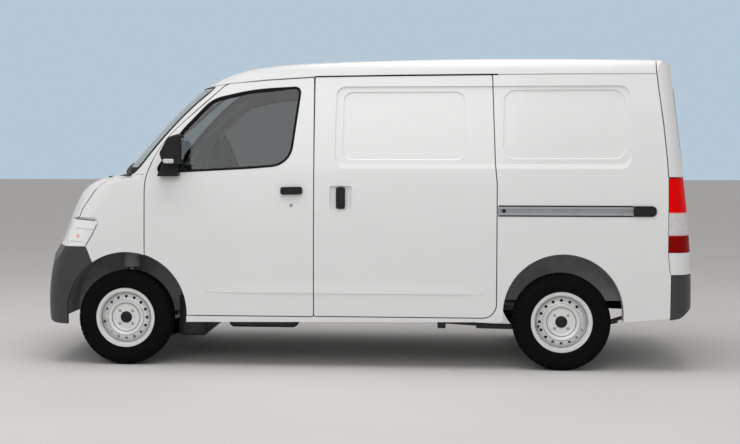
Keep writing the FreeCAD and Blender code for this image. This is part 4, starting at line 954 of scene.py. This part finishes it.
POST_LINE, POST_REACH = ((0.232, 1.42), (0.228, 1.45), (0.223, 1.53)), 0.06
BUCKLE_LINE, BUCKLE_SHIFT = ((0.40, 0.84), (0.395, 0.93)), -0.245


def block_mesh(sections):
    """Closed mesh through level rounded rectangles, each (height, x0, x1, half_width, radius)."""
    return stacked([[(x, y, z) for x, y in rectangle(x0, x1, -half, half, radius, 5)]
                    for z, x0, x1, half, radius in sections])


def stuffed(name, sections, lean, foot, grooves, pressure=4.0):
    """Cushion blown up by a cloth simulation, with sewn channels across it, then leaned about its foot."""
    made = mesh_piece(name, *block_mesh(sections), SEAT_CLOTH, "van_body")
    remesh = made.modifiers.new("even", "REMESH")
    remesh.mode = "VOXEL"
    remesh.voxel_size = VOXEL
    bake(made)
    rest = [v.co.copy() for v in made.data.vertices]
    low = min(co.z for co in rest)
    high = max(co.z for co in rest)
    cloth = made.modifiers.new("stuffing", "CLOTH")
    cloth.settings.use_pressure = True
    cloth.settings.uniform_pressure_force = pressure
    cloth.settings.effector_weights.gravity = 0
    cloth.settings.quality = 4
    scene = bpy.context.scene
    for frame_number in range(1, STUFFING_FRAMES + 1):
        scene.frame_set(frame_number)
    bake(made)
    scene.frame_set(1)
    for vertex, start in zip(made.data.vertices, rest):
        shift = vertex.co - start
        if shift.length > SHIFT_LIMIT:
            shift = shift.normalized() * SHIFT_LIMIT
        vertex.co = start + shift
    for vertex in made.data.vertices:
        share = (vertex.co.z - low) / (high - low)
        along = (vertex.co.x - sections[0][1]) / (sections[0][2] - sections[0][1])
        for axis, place in grooves:
            distance = (share if axis == "z" else along if axis == "x" else vertex.co.y) - place
            unit = (high - low) if axis == "z" else (sections[0][2] - sections[0][1]) if axis == "x" else 1
            near = abs(distance) * unit
            if near < GROOVE_HALF:
                vertex.co -= vertex.normal * GROOVE_DEPTH * (1 - near / GROOVE_HALF)
    turn = Matrix.Translation(foot) @ Matrix.Rotation(lean, 4, "Y")
    made.data.transform(turn)
    finer = made.modifiers.new("finer", "SUBSURF")
    finer.levels = finer.render_levels = 1
    bake(made)
    made.data.polygons.foreach_set("use_smooth", [True] * len(made.data.polygons))
    return made


def bake(made):
    """Turns the modifiers' result into the object's own mesh."""
    graph = bpy.context.evaluated_depsgraph_get()
    mesh = bpy.data.meshes.new_from_object(made.evaluated_get(graph))
    made.modifiers.clear()
    made.data = mesh


def twin(made, name, shift):
    mesh = made.data.copy()
    mesh.transform(Matrix.Translation(shift))
    copy = bpy.data.objects.new(name, mesh)
    bpy.context.scene.collection.objects.link(copy)
    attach(copy, "van_body")
    return copy


def seats():
    """Two front seats: cushions, backs and head rests of stuffed cloth on steel posts and plinths."""
    left = SEAT_SIDES[0][0]
    shift = Vector((0, SEAT_SIDES[1][0] - left, 0))
    pieces = []
    for name, sections, lean, (x, z), grooves, fill in SEAT_PARTS:
        made = stuffed(name + "_left", sections, math.radians(lean), Vector((x, left, z)), grooves)
        pieces.append((made, name + "_right", fill))
    for made, name, fill in pieces:
        twin(made, name, shift)
    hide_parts("seats")
    for y, side in SEAT_SIDES:
        corners, faces = block_mesh(PLINTH)
        mesh_piece("seat_plinth_" + side, [(x, y + b, z) for x, b, z in corners], faces, CHASSIS_BLACK,
                   "van_body")
        for k, reach in enumerate((-POST_REACH, POST_REACH)):
            tube("rest_post_%d_%s" % (k, side), [Vector((x, y + reach, z)) for x, z in POST_LINE], 0.006,
                 RAIL_STEEL)
        tube("belt_buckle_" + side, [Vector((x, y + BUCKLE_SHIFT, z)) for x, z in BUCKLE_LINE], 0.011,
             TRIM_BLACK)


def tube(name, path, radius, paint, sides=14):
    """Round bar along a path, on the van's body."""
    section = [(radius * math.cos(2 * math.pi * k / sides), radius * math.sin(2 * math.pi * k / sides))
               for k in range(sides)]
    guide = Y_AXIS if abs((path[-1] - path[0]).normalized().y) < ALONG else X_AXIS
    normals = []
    for k in range(len(path)):
        along = (path[min(k + 1, len(path) - 1)] - path[max(k - 1, 0)]).normalized()
        normals.append((guide - along * guide.dot(along)).normalized())
    return swept(name, path, normals, section, paint, "van_body")


WEB_SECTION = [(-0.023, -0.0007), (-0.023, 0.0007), (0.023, 0.0007), (0.023, -0.0007)]


def seat_belts():
    """Webbing from the reel at the pillar to the lower anchor, hanging straight when not in use."""
    for side, sign in SIDES.items():
        path = [Vector((0.20, sign * (0.655 + 0.035 * k / 10), 1.50 - 0.6 * k / 10)) for k in range(11)]
        normals = [Vector((0, -sign, -0.06)).normalized()] * len(path)
        swept("seat_belt_" + side, path, normals, WEB_SECTION, BELT_WEB, "van_body")


DASH_PANELS = (("instrument_glass", (-0.50, -0.21, 1.125, 1.195, 0.03), GAUGE_BLACK, 0.003),
               ("radio_panel", (-0.11, 0.11, 0.98, 1.08, 0.012), TRIM_BLACK, 0.004),
               ("glove_box_lid", (0.19, 0.60, 0.93, 1.07, 0.02), DASH_LIGHT, 0.006))
OUTER_VENT, INNER_VENT = (1.04, 1.10), (1.088, 1.128)
VENTS = ((-0.635, OUTER_VENT), (-0.16, INNER_VENT), (0.16, INNER_VENT), (0.635, OUTER_VENT))
VENT_HALF = 0.042
KNOB = [(POLE, 0.018), (0.013, 0.018), (0.016, 0.014), (0.017, -0.004), (POLE, -0.004)]
KNOB_YS, KNOB_Z = (-0.05, 0.0, 0.05), 0.945
LEVER = [Vector((1.17, 0.0, 1.0)), Vector((1.10, 0.0, 1.045)), Vector((1.055, 0.0, 1.10))]
GEAR_KNOB = [(POLE, 0.045), (0.014, 0.043), (0.022, 0.03), (0.022, 0.014), (0.013, 0.0), (POLE, -0.002)]
WHEEL_PAD = [(POLE, 0.020), (0.045, 0.018), (0.066, 0.008), (0.070, -0.006), (POLE, -0.006)]
COLUMN_LEAN = math.radians(20)


def dashboard_details():
    """Instrument glass, vents, radio panel, glove-box lid, gear lever and the wheel's pad."""
    tree = skin_of("dashboard")
    for name, outline, paint, proud in DASH_PANELS:
        patch(name, "cabin_front", rectangle(*outline), tree, paint, "van_body", proud=proud)
    for k, (y, levels) in enumerate(VENTS):
        patch("air_vent_%d" % k, "cabin_front", rectangle(y - VENT_HALF, y + VENT_HALF, *levels, 0.012), tree,
              TRIM_BLACK, "van_body", proud=0.005)
    for k, y in enumerate(KNOB_YS):
        spot = on_skin(tree, "cabin_front", y, KNOB_Z)[0]
        turned("heater_knob_%d" % k, KNOB, spot, TRIM_BLACK, "van_body", 28, axis=-X_AXIS)
    tube("gear_lever", LEVER, 0.008, TRIM_BLACK)
    turned("gear_knob", GEAR_KNOB, LEVER[-1] - Vector((0, 0, 0.004)), TRIM_BLACK, "van_body", 28,
           axis=Vector((-0.35, 0, 0.94)).normalized())
    low, high = (Vector(c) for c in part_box("steering_wheel"))
    axis = Vector((-math.cos(COLUMN_LEAN), 0, math.sin(COLUMN_LEAN)))
    turned("wheel_pad", WHEEL_PAD, (low + high) / 2, CABIN_GREY, "steering_hand_wheel", 40, axis=axis)


DOOR_CARD = [(0.36, 0.47), (0.93, 0.47), (1.12, 0.82), (1.16, 1.10), (0.36, 1.10)]
ARM_REST = (0.42, 0.86, 0.80, 0.855, 0.025)
DOOR_RELEASE = (0.92, 1.01, 0.93, 0.965, 0.012)


def door_cards():
    """Moulded trim inside the front doors, with an arm rest and a pull."""
    for side in SIDES:
        tree = skin_of("front_door_" + side)
        look = "cabin_" + side
        body = "door_" + side
        patch("door_card_" + side, look, rounded(DOOR_CARD, 0.05), tree, CABIN_GREY, body, proud=0.010,
              sunk=0.002, rows=16, columns=20)
        patch("arm_rest_" + side, look, rectangle(*ARM_REST), tree, DASH_LIGHT, body, proud=0.05,
              sunk=-0.008, rows=10, columns=14, rim=0.75)
        patch("door_release_" + side, look, rectangle(*DOOR_RELEASE), tree, TRIM_BLACK, body,
              proud=0.02, sunk=-0.008)


CABIN_MIRROR = [(-0.030, -0.006, 0.010, 0.100, 0.006), (-0.026, -0.010, 0.016, 0.112, 0.008),
                (0.026, -0.010, 0.016, 0.112, 0.008), (0.030, -0.006, 0.010, 0.100, 0.006)]
MIRROR_Z, MIRROR_DROP = 1.650, Vector((-0.075, 0, -0.035))
CARGO_MAT = (-1.70, 0.14, -0.46, 0.46, 0.03)


def cabin_mirror():
    """Inner mirror, hung on a stem from the top of the screen."""
    point, normal = on_skin(skin_of("windscreen"), "front", 0.0, MIRROR_Z)
    foot = point - normal * 0.007
    middle = foot + MIRROR_DROP
    corners, faces = block_mesh(CABIN_MIRROR)
    mesh_piece("cabin_mirror", [Vector(c) + middle for c in corners], faces, TRIM_BLACK, "van_body")
    tube("cabin_mirror_stem",
         [middle + Vector((0.008, 0, 0.004)), middle.lerp(foot, 0.6) + Vector((0, 0, 0.006)),
                               foot], 0.007, TRIM_BLACK)


def floor_mats():
    tree = skin_of("floor_pan")
    patch("cargo_mat", "top", rectangle(*CARGO_MAT), tree, FLOOR_MAT, "van_body", proud=0.004,
          sunk=0.0, rows=30, columns=20)


seats()
seat_belts()
dashboard_details()
door_cards()
cabin_mirror()
floor_mats()


# Stage, lights and camera


FLOOR_REACH = 60
WORLD_LIGHT = 0.545
BACKDROP = (0.47, 0.58, 0.67, 1)


def pale_floor():
    """Pale floor out to the horizon."""
    mesh = bpy.data.meshes.new("floor")
    reach = FLOOR_REACH
    mesh.from_pydata([(-reach, -reach, 0), (reach, -reach, 0), (reach, reach, 0), (-reach, reach, 0)], [],
                     [(0, 1, 2, 3)])
    floor = bpy.data.objects.new("floor", mesh)
    bpy.context.scene.collection.objects.link(floor)
    floor.data.materials.append(surface("floor_pale", (0.60, 0.59, 0.585), 0.7, spread=0.03, scale=0.8,
                                        grain=(30, 0.0003)))


def studio_world():
    """Plain soft light from all round, and a pale background for the camera and through glass."""
    world = bpy.data.worlds.new("studio")
    bpy.context.scene.world = world
    world.use_nodes = True
    tree = world.node_tree
    light = tree.nodes["Background"]
    light.inputs["Color"].default_value = (1, 1, 1, 1)
    light.inputs["Strength"].default_value = WORLD_LIGHT
    backdrop = tree.nodes.new("ShaderNodeBackground")
    backdrop.inputs["Color"].default_value = BACKDROP
    backdrop.inputs["Strength"].default_value = 1
    path = tree.nodes.new("ShaderNodeLightPath")
    either = tree.nodes.new("ShaderNodeMath")
    either.operation = "MAXIMUM"
    tree.links.new(path.outputs["Is Camera Ray"], either.inputs[0])
    tree.links.new(path.outputs["Is Transmission Ray"], either.inputs[1])
    mix = tree.nodes.new("ShaderNodeMixShader")
    tree.links.new(either.outputs[0], mix.inputs["Fac"])
    tree.links.new(light.outputs[0], mix.inputs[1])
    tree.links.new(backdrop.outputs[0], mix.inputs[2])
    tree.links.new(mix.outputs[0], tree.nodes["World Output"].inputs["Surface"])


def area_lamp(name, place, target, size, power):
    lamp = bpy.data.lights.new(name, "AREA")
    lamp.shape = "RECTANGLE"
    lamp.size, lamp.size_y = size
    lamp.energy = power
    made = bpy.data.objects.new(name, lamp)
    bpy.context.scene.collection.objects.link(made)
    made.location = place
    made.rotation_euler = (Vector(target) - Vector(place)).to_track_quat("-Z", "Y").to_euler()


def camera():
    """Eye-level view of the left side from a little ahead of the tail, as in the photograph."""
    place = (-0.4201, 9.100, 1.2973)
    yaw = 0.0951537
    pitch = 0.0495519
    focal_px = 1378.5
    image_width = 740
    centre_px = 300
    data = bpy.data.cameras.new("camera")
    data.sensor_width = 36
    data.lens = focal_px / image_width * data.sensor_width
    data.shift_x = 0.5 - centre_px / image_width
    data.clip_end = 200
    made = bpy.data.objects.new("camera", data)
    bpy.context.scene.collection.objects.link(made)
    made.location = place
    made.rotation_euler = (math.pi / 2 - pitch, 0, math.pi + yaw)
    bpy.context.scene.camera = made


pale_floor()
studio_world()
area_lamp("top_light", (0.5, 1.5, 6.5), (0, 0, 0.8), (7, 5), 270)
area_lamp("side_light", (1.5, 8.5, 4.5), (0, 0.6, 1.0), (6, 3), 105)
camera()
bpy.context.scene.view_settings.view_transform = "Standard"
